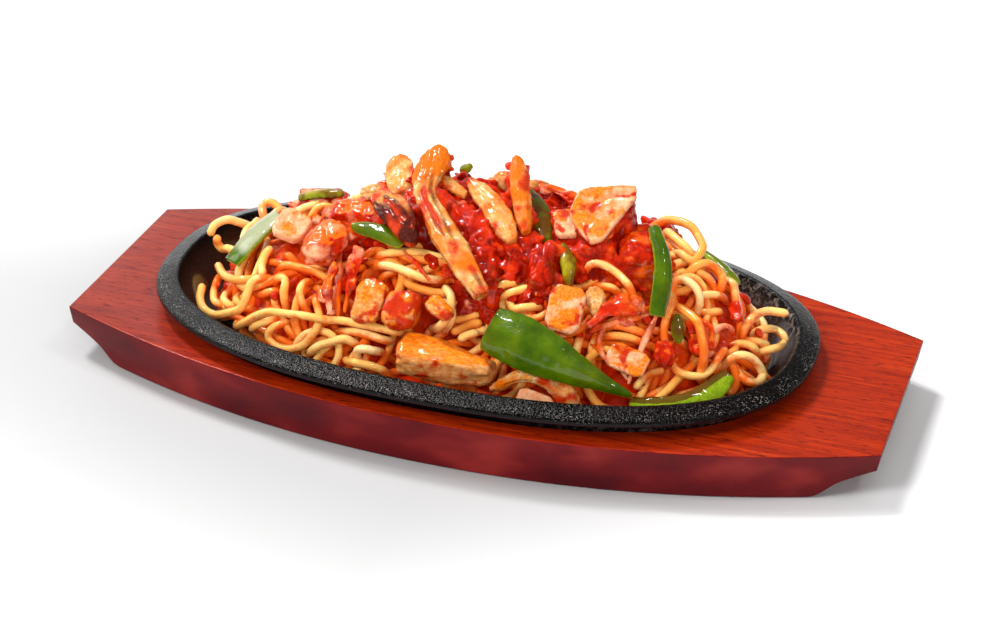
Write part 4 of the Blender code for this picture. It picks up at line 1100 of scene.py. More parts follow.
def settle(routes, mask, free, height, heap, toppings):
    """Lets the noodles make room for each other inside the heap and beside the toppings."""
    start = routes.copy()
    rows, stations = np.nonzero(mask)
    loose = free[rows] > 0.5
    heights = height[mask]
    for _ in range(SETTLE_ROUNDS):
        tangents = unit(np.gradient(routes, axis=1))[mask]
        points = routes[mask]
        push = push_apart(points, tangents, heap.at(points)[1], rows, stations, heights, free[rows])
        routes[mask] = points + 0.8 * push
        routes = start + along_rows(along_rows(routes - start, mask), mask)
        points = routes[mask]
        distance, outward = heap.at(points)
        excess = np.maximum(0, distance + 0.75 * NOODLE_RADIUS)
        excess -= np.maximum(0, -NOODLE_DEEPEST - distance)
        points -= (excess * loose)[:, None] * outward
        distance, outward = toppings.at(points)
        points += (np.maximum(0, NOODLE_RADIUS - distance) * np.where(loose, 0.6, 0.15))[:, None] * outward
        routes[mask] = points
    return routes


def strand_skin(route, radius):
    """Vertices and faces of one noodle or thread with softly rounded ends."""
    count = len(route)
    ahead = unit(np.gradient(route, axis=0))
    sides = np.zeros_like(route)
    side = np.cross(ahead[0], (0.3, 0.2, 0.9))
    for i in range(count):
        side = side - ahead[i] * np.dot(side, ahead[i])
        side = side / np.linalg.norm(side)
        sides[i] = side
    others = np.cross(ahead, sides)
    angles = math.tau * np.arange(NOODLE_SIDES) / NOODLE_SIDES
    width = np.broadcast_to(radius, count).copy()
    width[[0, -1]] *= 0.72
    cosine, sine = np.cos(angles)[None, :, None], np.sin(angles)[None, :, None]
    around = cosine * sides[:, None] + sine * others[:, None]
    skin = (route[:, None] + around * width[:, None, None]).reshape(-1, 3)
    ends = np.stack([route[0] - ahead[0] * width[0] * 0.5, route[-1] + ahead[-1] * width[-1] * 0.5])
    i = np.arange(NOODLE_SIDES)
    j = (i + 1) % NOODLE_SIDES
    level = (np.arange(count - 1) * NOODLE_SIDES)[:, None]
    quads = np.stack([level + i, level + j, level + NOODLE_SIDES + j, level + NOODLE_SIDES + i], axis=-1)
    last = (count - 1) * NOODLE_SIDES
    tips = [(b, a, last + NOODLE_SIDES) for a, b in zip(i, j)]
    tips += [(last + a, last + b, last + NOODLE_SIDES + 1) for a, b in zip(i, j)]
    return np.vstack([skin, ends]), quads.reshape(-1, 4).tolist() + tips


def joined_skins(skins):
    """The vertices and faces of several skins, as those of one mesh."""
    vertices, faces = [], []
    start = 0
    for skin, quads in skins:
        vertices.append(skin)
        faces += [tuple(start + k for k in quad) for quad in quads]
        start += len(skin)
    return np.vstack(vertices), faces


def refined(route):
    """Twice as many stations, on the smooth curve through them."""
    padded = np.vstack([2 * route[0] - route[1], route, 2 * route[-1] - route[-2]])
    middle = (9 * (padded[1:-2] + padded[2:-1]) - padded[:-3] - padded[3:]) / 16
    woven = np.empty((2 * len(route) - 1, 3))
    woven[::2] = route
    woven[1::2] = middle
    return woven


def tucked(route, heap):
    """The route with its ends bent down into the heap, so that few noodles show an end."""
    outward = heap.at(route)[1]
    for order in (slice(None), slice(None, None, -1)):
        if abs(route[order][-1, 0]) < FREE_END and len(route) > 2 * len(DIVE):
            part = slice(len(route) - len(DIVE), None)
            route[order][part] -= outward[order][part] * (np.array(DIVE) * MM)[:, None]
    return route


def make_noodles(finish, heap, tomatoes):
    """All the noodles: those laid by rule at their depths, then those that lie on top, settled together."""
    rng = np.random.default_rng(SEEDS["noodles"])
    toppings = Field(FOOD, 1.5 * MM, 4 * MM)
    pulp = Field(TOMATO_MIDDLE, 3 * MM, 14 * MM)
    shares = np.array([share for _, share in SHELL_DEPTHS])
    layer = rng.choice(len(shares), NOODLE_COUNT, p=shares / shares.sum())
    depths = np.array([SHELL_DEPTHS[i][0] for i in layer]) + rng.uniform(-1, 0.6, NOODLE_COUNT)
    lengths = (rng.uniform(*NOODLE_LENGTH, NOODLE_COUNT) / NOODLE_STATION).astype(int)
    shown = [smooth_route(route, NOODLE_STATION) for route in LOOSE_NOODLES]
    total = NOODLE_COUNT + len(shown)
    longest = lengths.max()
    routes = np.zeros((total, longest, 3))
    routes[:NOODLE_COUNT] = wander(rng, heap, pulp, depths, longest)
    for i, route in enumerate(shown, NOODLE_COUNT):
        routes[i, : len(route)] = route
        routes[i, len(route) :] = route[-1]
    lengths = np.concatenate([lengths, [len(route) for route in shown]])
    mask = np.arange(longest) < lengths[:, None]
    free = np.concatenate([np.ones(NOODLE_COUNT), np.full(len(shown), 0.05)])
    height = depths[:, None] + NOODLE_SWAY * sway(np.arange(longest), np.arange(NOODLE_COUNT)[:, None])
    above = 5 + np.array([1000 * heap.at(route)[0].mean() for route in shown])
    height = np.concatenate([height, np.repeat(above[:, None], longest, axis=1)])
    routes = settle(routes, mask, free, height, heap, toppings)
    laid = [tucked(routes[i][mask[i]], heap) for i in range(total)]
    groups = {"noodles_loose": range(NOODLE_COUNT, total)}
    for i, name in enumerate(("noodles_top", "noodles_middle", "noodles_deep")):
        groups[name] = np.nonzero(layer == i)[0]
    for name, members in groups.items():
        build_noodles(name, [laid[i] for i in members], heap, tomatoes, rng, finish)


def build_noodles(name, routes, heap, tomatoes, rng, finish):
    """One piece of noodles along some routes, each with its own width, tone and share of sauce, which grows
    with depth below the heap's surface, partly as painted shade.
    """
    skins, tones, sauces = [], [], []
    for route in routes:
        route = route if name == "noodles_deep" else refined(route)
        skin, quads = strand_skin(route, NOODLE_RADIUS * rng.uniform(0.9, 1.03))
        skins.append((skin, quads))
        depth = np.clip(-heap.at(skin)[0] / MM, -1, 8)
        blots = patches(skin, 9 * MM, 3)
        tones.append(np.clip(rng.uniform(0.1, 0.75) + 0.25 * blots, 0, 1))
        # Deeper in the heap a noodle is painted redder and darker: soaked sauce, and painted shade on the
        # buried ones.
        sauce = 0.13 * (depth - 0.5) + 0.28 * blots + 0.5 * soaked(skin, tomatoes) + rng.uniform(-0.05, 0.3)
        sauces.append(np.clip(sauce, 0, 1.2))
    piece = add_piece(name, *joined_skins(skins), finish, "noodle", "noodles")
    paint(piece, "tone", np.concatenate(tones))
    paint(piece, "sauce", np.concatenate(sauces))


# ---------------------------------------------------------------- sauce, crumbs and pulp


def crumb_mesh(name, crumbs):
    """One mesh of round lumps, each given by its place, three radii and turn."""
    ball = bmesh.new()
    bmesh.ops.create_icosphere(ball, subdivisions=2, radius=1.0)
    shape = np.array([(*vert.co, 1.0) for vert in ball.verts])
    faces = np.array([[vert.index for vert in face.verts] for face in ball.faces])
    ball.free()
    matrices = [Matrix.Translation(at) @ turn @ Matrix.Diagonal((*radii, 1)) for at, radii, turn in crumbs]
    vertices = np.einsum("cij,vj->cvi", np.array(matrices), shape)[:, :, :3].reshape(-1, 3)
    shifts = (len(shape) * np.arange(len(crumbs)))[:, None, None]
    return mesh_of(name, vertices, (faces + shifts).reshape(-1, 3).tolist())


def fine_copy(name, nodes, voxel, soften, crumbs=(), ground=None):
    """One closed fine mesh over the solids of some nodes, any crumbs and a ground of vertices and faces."""
    whole = solids_of(nodes)
    if ground:
        whole.from_mesh(mesh_of(name, *ground))
    bmesh.ops.remove_doubles(whole, verts=whole.verts, dist=0.001 * MM)
    if crumbs:
        whole.from_mesh(crumb_mesh(name, crumbs))
    mesh = bpy.data.meshes.new(name)
    whole.to_mesh(mesh)
    whole.free()
    piece = link(name, mesh)
    remesh = piece.modifiers.new("remesh", "REMESH")
    remesh.mode = "VOXEL"
    remesh.voxel_size = voxel
    smooth = piece.modifiers.new("smooth", "SMOOTH")
    smooth.factor = 0.5
    smooth.iterations = soften
    apply_modifiers(piece)
    piece.data.shade_smooth()
    return piece


def paint_shares(piece, **shares):
    """Paints several values, each held between 0 and 1."""
    for name, values in shares.items():
        paint(piece, name, np.clip(values, 0, 1))


def make_bed(finish, heap, tomatoes):
    """The heap below the noodles that show: sauce in the solid's shape, drawn in, higher where it soaks."""
    bed = fine_copy("noodle_bed", ["noodles"], 1.6 * MM, 5)
    points = points_of(bed)
    deep = BED_DEPTH - BED_RISE * soaked(points, tomatoes)
    deep = deep + MM * (1.0 * lumps(points, 5 * MM, 50) + 0.9 * lumps(points, 2.8 * MM, 51))
    for _ in range(2):
        distance, outward = heap.at(points)
        points += np.minimum(0, -deep - distance)[:, None] * outward
    move_to(bed, points)
    dress(bed, finish, "tomato", "noodles")
    paint(bed, "tone", 0.4 + 0.35 * soaked(points, tomatoes) + 0.3 * lumps(points, 6 * MM, 52))


def crumbs_near(rng, heap, count, spots, reach, sizes, lift):
    """Small lumps scattered on the heap within reach of some spots."""
    found = []
    while len(found) < count:
        centre = spots[rng.integers(len(spots))] + rng.normal(0, reach / 2, 3)
        for _ in range(3):
            distance, outward = heap.at(centre[None])
            centre = centre + (rng.uniform(*lift) - distance[0]) * outward[0]
        stretch = (rng.uniform(0.8, 1.7), rng.uniform(0.6, 1.0), rng.uniform(0.4, 0.65))
        turn = Vector(outward[0]).to_track_quat("Z", "Y").to_matrix().to_4x4()
        turn = turn @ Matrix.Rotation(rng.uniform(0, math.tau), 4, "Z")
        if centre[2] > 14 * MM and abs(heap.at(centre[None])[0][0]) < 4 * MM:
            found.append((Vector(centre), rng.uniform(*sizes) * np.array(stretch), turn))
    return found


class Relief:
    """Heights over a grid in plan: the bare heap, the food on it, and the pulp that fills its dips."""

    def __init__(self):
        self.low = np.array(PULP_AREA[0]) * MM
        size = np.array(PULP_AREA[1]) * MM - self.low
        self.shape = np.round(size / PULP_STEP).astype(int) + 1
        x, y = self.places()
        open_side = y > np.interp(x, *(np.array(PULP_FRONT) * MM).T)
        crown = self.heights(PULP_CROWN)
        self.bare = self.heights(["noodles"])
        self.covered = np.maximum(self.heights(FOOD), self.bare)
        risen = np.maximum(crown, self.bare)
        closed = -self.widest(-self.widest(risen, PULP_SPAN), PULP_SPAN)
        near = self.widest((crown > 0).astype(float), PULP_REACH)
        share = self.softened(near * open_side, 6)
        filled = self.bare + (self.softened(closed, 2) - self.bare) * share
        filled = np.minimum(filled, self.softened(self.sightline(), 1))
        under = [self.heights(nodes, upward=True) for nodes in (PULP_CROWN, ["pepper_bit_top"])]
        held = np.minimum(np.maximum(*under) + PULP_HOLD, risen) * open_side
        self.filled = np.maximum(self.bare, np.maximum(filled, held))
        self.holds = self.filled - self.bare > PULP_LEAST

    def places(self):
        """X and Y of every place on the grid."""
        i, j = np.meshgrid(*(np.arange(n) for n in self.shape), indexing="ij")
        return self.low[0] + i * PULP_STEP, self.low[1] + j * PULP_STEP

    def cell(self, points):
        """The place on the grid that is nearest to each point."""
        return np.round((points[:, :2] - self.low) / PULP_STEP).astype(int)

    def heights(self, nodes, upward=False):
        """Height of the surface that is met first on the way down, or on the way up."""
        tree = search_tree(nodes)
        start, way = (0.0, 1) if upward else (0.2, -1)
        found = np.zeros(self.shape)
        for place, (x, y) in zip(np.ndindex(*self.shape), np.stack(self.places(), -1).reshape(-1, 2)):
            hit = tree.ray_cast((x, y, start), (0, 0, way))[0]
            found[place] = hit.z if hit else 0.0
        return found

    def sightline(self):
        """How high the pulp may stand before it hides a topping or a loose noodle from the photo's side."""
        eye = np.array(CAMERA_PLACE)
        shown = search_tree([node for node in FOOD if node not in TOMATO_MIDDLE])
        others = search_tree(TOMATO_MIDDLE + ["noodles"])
        spots = []
        for x, z in itertools.product(*(np.arange(*reach, SIGHT_STEP) for reach in SIGHT_REACH)):
            ray = unit(np.array((x, SIGHT_PLANE, z)) * MM - eye)
            hit, blocked = shown.ray_cast(eye, ray), others.ray_cast(eye, ray)
            if hit[0] and (blocked[0] is None or hit[3] < blocked[3]):
                spots.append(hit[0] - Vector((0, 0, 0.4 * MM)))
        for route in LOOSE_NOODLES:
            spots += list(smooth_route(route, PULP_STEP) - (0, 0, 1.3 * MM))
        spots = np.array(spots)
        toward = unit(eye - spots)
        most = np.full(self.shape, 1.0)
        for walked in np.arange(0, SIGHT_WALK, 0.5 * PULP_STEP):
            along = spots + toward * walked
            cell = self.cell(along)
            inside = np.all((cell >= 0) & (cell < self.shape), axis=1)
            np.minimum.at(most, tuple(cell[inside].T), along[inside, 2])
        return most

    @staticmethod
    def widest(values, radius):
        """The largest value within a radius."""
        reach = int(radius / PULP_STEP)
        rows, columns = values.shape
        padded = np.pad(values, reach, "edge")
        best = np.full_like(values, -np.inf)
        for i, j in itertools.product(range(-reach, reach + 1), repeat=2):
            if i * i + j * j <= reach * reach:
                top, left = reach + i, reach + j
                best = np.maximum(best, padded[top : top + rows, left : left + columns])
        return best

    @staticmethod
    def softened(values, rounds):
        """The values, each drawn towards the mean of its four neighbours."""
        for _ in range(rounds):
            padded = np.pad(values, 1, "edge")
            around = padded[:-2, 1:-1] + padded[2:, 1:-1] + padded[1:-1, :-2] + padded[1:-1, 2:]
            values = (4 * values + around) / 8
        return values


def pulp_ground(relief):
    """A closed slab over the cells that hold pulp, a little below the pulp's surface."""
    x, y = relief.places()
    top = np.where(relief.holds, relief.filled - PULP_COVER, relief.bare - PULP_SLAB[0])
    floor = relief.bare - PULP_SLAB[1]
    vertices = np.concatenate([np.stack([x, y, up], -1).reshape(-1, 3) for up in (top, floor)])
    under = top.size
    index = np.arange(under).reshape(relief.shape)
    used = relief.widest(relief.holds.astype(float), 2 * MM) > 0
    quads = np.stack([index[:-1, :-1], index[1:, :-1], index[1:, 1:], index[:-1, 1:]], -1)[used[:-1, :-1]]
    edges = np.concatenate([quads[:, [k, (k + 1) % 4]] for k in range(4)])
    _, first, count = np.unique(edges.min(1) * under + edges.max(1), return_index=True, return_counts=True)
    faces = quads.tolist() + (quads[:, ::-1] + under).tolist()
    faces += [(b, a, a + under, b + under) for a, b in edges[first[count == 1]].tolist()]
    return vertices, faces


def pulp_crumbs(rng, relief):
    """Lumps of tomato strewn over the slab, where nothing lies on the pulp."""
    x, y = (places.ravel() for places in relief.places())
    filled = relief.filled.ravel()
    hollow = relief.softened(relief.filled - relief.covered, 1)
    chance = step(hollow, -0.3 * MM, 2.0 * MM) * relief.holds
    chance = (chance / chance.sum()).ravel()
    crumbs = []
    for spot in rng.choice(len(chance), PULP_CRUMBS, p=chance):
        size = rng.uniform(0.9, 1.5) * rng.choice((1.0, 1.6, 2.2), p=(0.5, 0.35, 0.15)) * MM
        up = filled[spot] - 0.8 * size - rng.uniform(0.6, 3.2) * MM
        place = Vector((x[spot], y[spot], up)) + Vector(rng.normal(0, 0.5 * MM, 3))
        turn = Matrix.Rotation(rng.uniform(0, math.tau), 4, "Z")
        turn = turn @ Matrix.Rotation(rng.normal(0, 0.7), 4, "X")
        stretch = np.array((rng.uniform(1.0, 2.2), rng.uniform(0.7, 1.1), rng.uniform(0.45, 0.8)))
        crumbs.append((place, size * stretch, turn))
    return crumbs


def make_pulp(finish):
    """Stewed tomato between the toppings on top: a lumpy mound that they stick out of, with painted shade
    in its hollows.
    """
    relief = Relief()
    crumbs = pulp_crumbs(np.random.default_rng(SEEDS["pulp"]), relief)
    pulp = fine_copy("tomato_pulp", [], 0.7 * MM, 1, crumbs, pulp_ground(relief))
    points = points_of(pulp)
    folds = lumps(points, 2.6 * MM, 81) + 0.5 * lumps(points, 1.3 * MM, 82)
    points = points + (MM * (0.55 * folds - 0.9 * creases(points, 4 * MM, 86)))[:, None] * normals_of(pulp)
    move_to(pulp, points)
    dress(pulp, finish, "tomato")
    right = step(points[:, 0], 40 * MM, 65 * MM)
    left = step(-points[:, 0], 30 * MM, 50 * MM)
    cell = np.clip(relief.cell(points), 0, np.array(relief.shape) - 1)
    # Painted shade: the pulp is painted darker where it lies below its smoothed surface, and lighter on its
    # bumps.
    painted_shade_height = (points[:, 2] - relief.softened(relief.filled, 3)[tuple(cell.T)]) / MM + 2.6
    paint_shares(
        pulp,
        tone=0.4 * patches(points, 5 * MM, 83) + 0.2 * np.clip(painted_shade_height, -2, 2),
        orange=0.3 * (right + left) + 0.45 * patches(points, 6 * MM, 84),
        pale=0.35 * left + 0.6 * patches(points, 4 * MM, 85) - 0.1,
    )


def make_threads(finish):
    """Torn threads of tomato skin over the noodles."""
    rng = np.random.default_rng(SEEDS["threads"])
    skins = []
    for route in TOMATO_THREADS:
        route = smooth_route(route, 0.9 * MM)
        ends = np.sin(np.linspace(0.12, 0.9, len(route)) * math.pi)
        width = MM * rng.uniform(0.8, 1.4) * ends ** 0.6
        width = width * (1 + 0.35 * lumps(route, 3 * MM, 60))
        skins.append(strand_skin(route + 0.5 * MM * lumps(route, 5 * MM, 61)[:, None], width))
    threads = add_piece("tomato_threads", *joined_skins(skins), finish, "tomato")
    points = points_of(threads)
    paint_shares(
        threads,
        tone=0.4 + 0.4 * patches(points, 8 * MM, 62),
        orange=0.5 + 0.5 * patches(points, 7 * MM, 63),
        pale=0.5 + 0.5 * patches(points, 6 * MM, 64),
    )


def make_bits(finish, heap):
    """Crumbs of tomato between the noodles, most of them near the larger pieces."""
    rng = np.random.default_rng(SEEDS["bits"])
    spots = np.array([points_of(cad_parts[node]).mean(0) for node in TOMATOES])
    crumbs = crumbs_near(rng, heap, BITS_NEAR, spots, 18 * MM, (1.0 * MM, 2.6 * MM), (-2.5 * MM, -0.2 * MM))
    starts = heap_starts(rng, 300)
    sizes = (0.8 * MM, 2.0 * MM)
    crumbs += crumbs_near(rng, heap, BITS_ELSEWHERE, starts, 5 * MM, sizes, (-3 * MM, -1 * MM))
    bits = fine_copy("tomato_bits", [], TOPPING_VOXEL, 1, crumbs)
    points = points_of(bits)
    points += (0.3 * MM * lumps(points, 2 * MM, 5))[:, None] * normals_of(bits)
    move_to(bits, points)
    dress(bits, finish, "tomato")
    paint_shares(bits, tone=0.35 + 0.5 * lumps(points, 11 * MM, 6))


# ---------------------------------------------------------------- toppings


def measured(points):
    """Each point's place along, across and through its piece, from -1 to 1."""
    middle = points.mean(0)
    _, _, axes = np.linalg.svd(points - middle, full_matrices=False)
    if axes[0] @ (0.2, -0.8, -0.5) < 0:
        axes[0] *= -1
    along = (points - middle) @ axes[0]
    reach = np.abs(along).max()
    bins = np.clip(((along / reach + 1) * 7).astype(int), 0, 13)
    found = []
    for axis in axes[1:]:
        across = (points - middle) @ axis
        centres = np.array([across[bins == b].mean() if np.any(bins == b) else np.nan for b in range(14)])
        places = (np.arange(14) + 0.5) / 7 - 1
        known = ~np.isnan(centres)
        across = across - np.interp(along / reach, places[known], centres[known])
        found.append(across / np.abs(across).max())
    return along / reach, found[0], found[1]


class Topping:
    """A fine copy of one or more topping solids, with its points and their places on it."""

    def __init__(self, name, nodes, finish, slot, voxel, soften, crumbs=()):
        self.piece = fine_copy(name, nodes, voxel, soften, crumbs)
        self.points = points_of(self.piece)
        self.normals = normals_of(self.piece)
        self.along, self.across, self.through = measured(self.points)
        self.lost = self.shrinkage(nodes)
        dress(self.piece, finish, slot, *nodes)

    def shrinkage(self, nodes):
        """How far smoothing drew the surface in over most of the piece."""
        tree = search_tree(nodes)
        losses = []
        for point in self.points[:: max(1, len(self.points) // 400)]:
            hit, normal, _, _ = tree.find_nearest(point)
            losses.append((hit - Vector(point)).dot(normal))
        return max(0.0, float(np.median(losses)))

    def move(self, points):
        self.points = points
        move_to(self.piece, points)
        self.normals = normals_of(self.piece)

    def swell(self, heights):
        """Raises the surface by some heights, and by what smoothing took from it."""
        self.move(self.points + self.normals * (heights + self.lost)[:, None])

    def spans(self, values):
        """The lowest and highest of some values at each point's place along the piece."""
        bins = np.clip(((self.along + 1) * 14).astype(int), 0, 27)
        known = np.unique(bins)
        found = np.array([(values[bins == b].min(), values[bins == b].max()) for b in known])
        places = (known + 0.5) / 14 - 1
        return (np.interp(self.along, places, found[:, side]) for side in (0, 1))

    def reshape(self, widths):
        """Gives the piece new half-widths from one end to the other, with blunt ends."""
        middle = self.points.mean(0)
        axis = np.linalg.svd(self.points - middle, full_matrices=False)[2][1]
        across = (self.points - middle) @ axis
        low, high = self.spans(across)
        wanted = np.interp(self.along, np.linspace(-1, 1, len(widths)), widths)
        scale = np.clip(2 * wanted / (high - low), 0.4, 2.4)
        self.move(self.points + ((across - (low + high) / 2) * (scale - 1))[:, None] * axis)

    def paint(self, **shares):
        paint_shares(self.piece, **shares)


def make_peppers(finish):
    """Strips of pepper: skin on the side that a strip faces, and cut edges round it."""
    for number, (node, (facing, yellow, pale, sauce)) in enumerate(PEPPERS.items()):
        strip = Topping(node + "_piece", [node], finish, "pepper", TOPPING_VOXEL, 7)
        if node in PEPPER_WIDTHS:
            strip.reshape(np.array(PEPPER_WIDTHS[node]) * MM)
        broad, fine = lumps(strip.points, 6 * MM, number), lumps(strip.points, 2 * MM, 2)
        strip.swell(0.3 * MM * broad + 0.12 * MM * fine)
        skin = strip.normals @ np.array(Vector(facing).normalized())
        if node == "pepper_front_curl":
            # The upper part of the curl, the inside of its hollow, is painted dark brown
            level = strip.points @ (0, 0.45, 0.89)
            low, high = strip.spans(level)
            sauce = 1.5 * step((level - low) / (high - low), 0.64, 0.84) - 0.3
        strip.paint(
            cut=step(-skin, *PEPPER_RIMS.get(node, PEPPER_RIM)),
            yellow=yellow + 0.12 * patches(strip.points, 9 * MM, number),
            pale=pale * (1 - step(strip.along, 0.4, 0.75)),
            sauce=sauce + 0.25 * patches(strip.points, 5 * MM, number + 3),
        )


def make_mushrooms(finish):
    """Mushroom pieces, grooved along their length; the long one has a seam and an orange cap."""
    for number, (node, (dark, orange, sauce, split)) in enumerate(MUSHROOMS.items()):
        mushroom = Topping(node + "_piece", [node], finish, "mushroom", TOPPING_VOXEL, 3)
        along, across, through = mushroom.along, mushroom.across, mushroom.through
        grooves = lumps(np.stack([along * 2.5, across * 7, through * 7], axis=1), 1.0, number)
        seam = split * band(across, 0.12, 0.13) * step(along, -0.6, -0.4) * step(-along, -0.35, 0.0)
        broad, fine = lumps(mushroom.points, 4 * MM, number), lumps(mushroom.points, 1.5 * MM, number)
        mushroom.swell(MM * (0.4 * grooves + (0.4 * broad + 0.16 * fine) - 1.3 * seam))
        cap = step(-along, 0.5, 0.62) if node == "mushroom_long" else 0
        # Painted shade: dark in the grooves and in the seam between the long one's stems; on the brown
        # mushroom the mask is its own dark brown instead.
        groove_shade_and_brown_cap = step(-grooves, 0.1, 0.6) + 0.6 * seam
        if node == "mushroom_brown":
            groove_shade_and_brown_cap = step(along + 0.5 * across + 0.5 * grooves, -0.7, -0.2)
        mushroom.paint(
            dark=dark * groove_shade_and_brown_cap * (1 - cap),
            orange=orange + 0.55 * patches(mushroom.points, 6 * MM, number + 9) + 1.5 * cap,
            sauce=sauce + 0.5 * patches(mushroom.points, 5 * MM, number) + 0.5 * seam - cap,
        )


def make_meats(ham, chicken):
    """Ham slices and chicken pieces: fibres, glaze on top and sauce where it clings."""
    for number, (node, (glaze, sauce)) in enumerate(MEATS.items()):
        kind = node.split("_")[0]
        chunk = Topping(node + "_piece", [node], ham if kind == "ham" else chicken, kind, TOPPING_VOXEL, 2)
        if node == "chicken_front":
            slope_away(chunk)
        along, across, through = chunk.along, chunk.across, chunk.through
        fibre = lumps(np.stack([along * 3, across * 9, through * 4], axis=1), 1.0, number)
        depth, bulge = (0.14, 0.0) if kind == "ham" or node == "chicken_front" else (0.3, 0.8)
        crease = band(across - 0.5 * along ** 2, -0.1, 0.15) * (node == "ham_fold")
        relief = depth * (fibre + 1.3 * lumps(chunk.points, 3.5 * MM, number))
        chunk.swell(MM * (relief + bulge * lumps(chunk.points, 9 * MM, number + 7) - 0.5 * crease))
        upward = step(chunk.normals[:, 2], 0.45, 0.9)
        blots = patches(chunk.points, 5 * MM, number)
        stains = patches(chunk.points, 3.5 * MM, number + 5)
        border = step(np.maximum(np.abs(along), np.abs(across)), 0.78, 0.98)
        if kind == "ham":
            chunk.paint(
                glaze=glaze * (0.35 + 0.5 * upward) + 0.5 * blots - 0.35 * border,
                sauce=sauce + 0.45 * stains + 0.35 * crease,
            )
        else:
            bands = lumps(np.stack([along * 5, across, through], axis=1), 1.0, number + 3)
            chunk.paint(
                glaze=glaze * (0.25 + 0.6 * upward) + 0.3 * blots + 0.12 * bands,
                sauce=sauce + 0.4 * stains + 0.3 * border - 0.2,
            )


def slope_away(chunk):
    """Lowers the back of the chunk towards its right end, so that its top narrows to an edge there."""
    low, high = chunk.points.min(0), chunk.points.max(0)
    right, back, top = ((chunk.points - low) / (high - low)).T
    points = chunk.points.copy()
    points[:, 2] -= 9 * MM * step(right, 0.0, 0.9) * step(back, 0.15, 1.0) * step(top, 0.2, 0.9)
    chunk.move(points)


def make_tomatoes(finish, heap):
    """Stewed tomato: each piece folded and creased, with torn crumbs round it unless it lies flat."""
    rng = np.random.default_rng(SEEDS["tomatoes"])
    groups = {node: [node] for node in TOMATOES if node not in TOMATO_MIDDLE}
    groups["tomato_middle"] = TOMATO_MIDDLE
    for number, (name, nodes) in enumerate(sorted(groups.items())):
        spots = np.vstack([points_of(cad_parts[node]) for node in nodes])
        flat = name in TOMATO_FLAT
        count, reach = int(np.ptp(spots, axis=0).max() / (2.0 * MM)) * (not flat), 3 * MM
        if len(nodes) > 1:
            count, reach = MIDDLE_CRUMBS, 9 * MM
        crumbs = crumbs_near(rng, heap, count, spots, reach, (1.6 * MM, 3.2 * MM), (-2 * MM, 1.5 * MM))
        chunk = Topping(name + "_pulp", nodes, finish, "tomato", 0.6 * MM, 2, crumbs)
        span = 1.9 if name == "tomato_left" else 1.0
        folds = lumps(chunk.points * (1.0, 1.0, 0.45), 3.6 * span * MM, number)
        tears = creases(chunk.points * (1.0, 1.0, 0.4), 4.2 * span * MM, number + 30)
        fine = lumps(chunk.points, 1.6 * MM, number)
        chunk.swell(MM * (1.1 * folds + 0.35 * fine - 1.2 * tears - 0.9 * flat))
        tone, orange, pale = TOMATO_TONES.get(name, TOMATO_TONE)
        # More orange and less pale on faces that point up.
        upward = step(chunk.normals[:, 2], 0.45, 0.95)
        chunk.paint(
            tone=tone + 0.35 * patches(chunk.points, 7 * MM, number),
            orange=orange * (0.15 + upward) + 0.35 * patches(chunk.points, 6 * MM, number + 2),
            pale=pale * (1.0 - 0.3 * upward) + 0.4 * patches(chunk.points, 5 * MM, number + 4),
        )


# ---------------------------------------------------------------- floor, light and camera


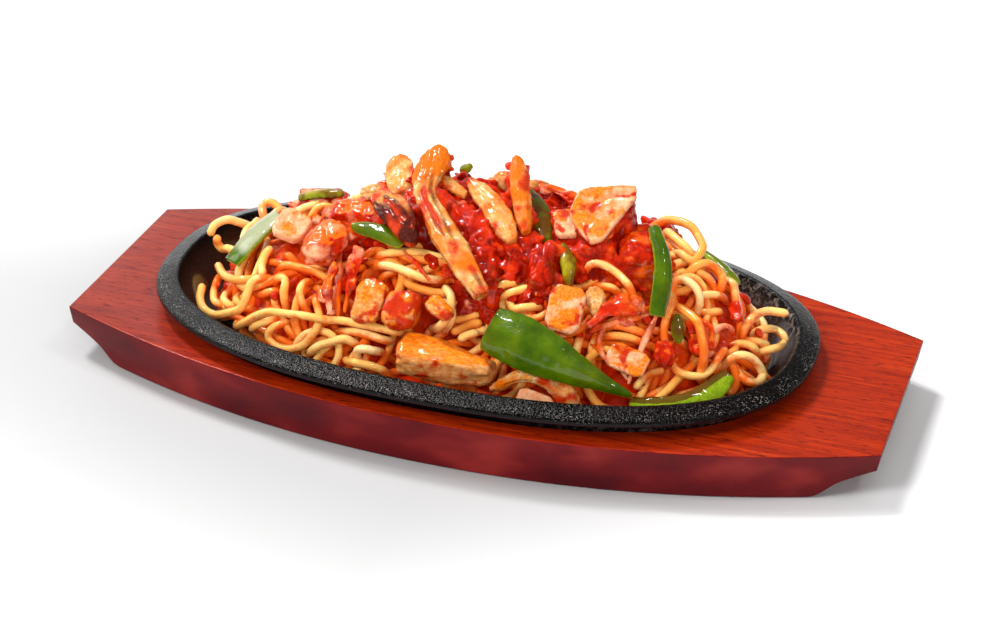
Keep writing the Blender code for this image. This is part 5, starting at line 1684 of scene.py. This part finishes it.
def make_floor():
    """A plain pale floor with painted shadow: a little darker near the board and in front of it, and
    painted lighter on the right and behind.
    """
    corners = [(x, y, -FLOOR_DROP) for x, y in ((-1, -1), (1, -1), (1, 1), (-1, 1))]
    floor = link("floor", mesh_of("floor", np.array(corners) * (FLOOR_SIZE, FLOOR_SIZE, 1), [(0, 1, 2, 3)]))
    paper = Finish("white_floor", Roughness=0.6)
    length = {0: paper.stretched((1.0, 1.6, 0.0))}
    away = paper.node("ShaderNodeVectorMath", {"operation": "LENGTH"}, length, "Value")
    right, behind = (paper.axis(paper.place, name).held() for name in "XY")
    # Painted shadow near the board; painted lighter to the right, where the lamps cast the board's shadow,
    # and behind.
    far = paper.rise(away + 1.2 * right + 0.7 * behind, *FLOOR_SHADOW_FADE)
    paper.set("Base Color", paper.mix(far, *((shade, shade, shade, 1) for shade in FLOOR_SHADOW_TONES)))
    floor.data.materials.append(paper.material)


def add_lamp(name, kind, place, power):
    """A lamp that faces the plate."""
    made = link(name, bpy.data.lights.new(name, kind))
    made.location = place
    made.rotation_euler = Vector(place).to_track_quat("Z", "Y").to_euler()
    made.data.energy = power
    return made


def make_light():
    """Soft light from a pale room, wide lamps, and panels for broad reflections on wood, iron and sauce."""
    world = bpy.data.worlds.new("pale_room")
    world.use_nodes = True
    world.node_tree.nodes["Background"].inputs["Color"].default_value = (1, 1, 1, 1)
    world.node_tree.nodes["Background"].inputs["Strength"].default_value = ROOM_LIGHT
    bpy.context.scene.world = world
    for name, (place, width, power, shine) in SUNS.items():
        sun = add_lamp(name, "SUN", place, power)
        sun.data.angle = math.radians(width)
        sun.visible_glossy = shine
    for name, (place, size, power) in WINDOWS.items():
        panel = add_lamp(name, "AREA", place, power)
        panel.data.shape = "RECTANGLE"
        panel.data.size, panel.data.size_y = size


def make_camera():
    """The photo's point of view."""
    camera = link("camera", bpy.data.cameras.new("camera"))
    camera.data.lens = CAMERA_LENS
    camera.data.sensor_width = SENSOR
    camera.location = CAMERA_PLACE
    camera.rotation_euler = CAMERA_TURN
    bpy.context.scene.camera = camera
    bpy.context.scene.view_settings.view_transform = "Standard"


def build():
    """The stage, then the dish from the board up."""
    make_camera()
    make_light()
    make_floor()
    make_board()
    make_plate()
    heap = Field(["noodles"], 2.0 * MM, 14 * MM, 2)
    tomatoes = Field(TOMATOES, 3 * MM, 14 * MM)
    sauce, tomato = sauce_finish(), tomato_finish()
    make_noodles(noodle_finish(), heap, tomatoes)
    make_bed(sauce, heap, tomatoes)
    make_bits(sauce, heap)
    make_tomatoes(tomato, heap)
    make_pulp(tomato)
    make_threads(tomato)
    make_peppers(pepper_finish())
    make_mushrooms(mushroom_finish())
    ham = meat_finish("ham_slices", "F4BC92", "E89462", (1.0, 1.0, 1.0))
    chicken = meat_finish("chicken_chunks", "F0AE6E", "C67C38", (0.45, 1.0, 1.0))
    make_meats(ham, chicken)


build()
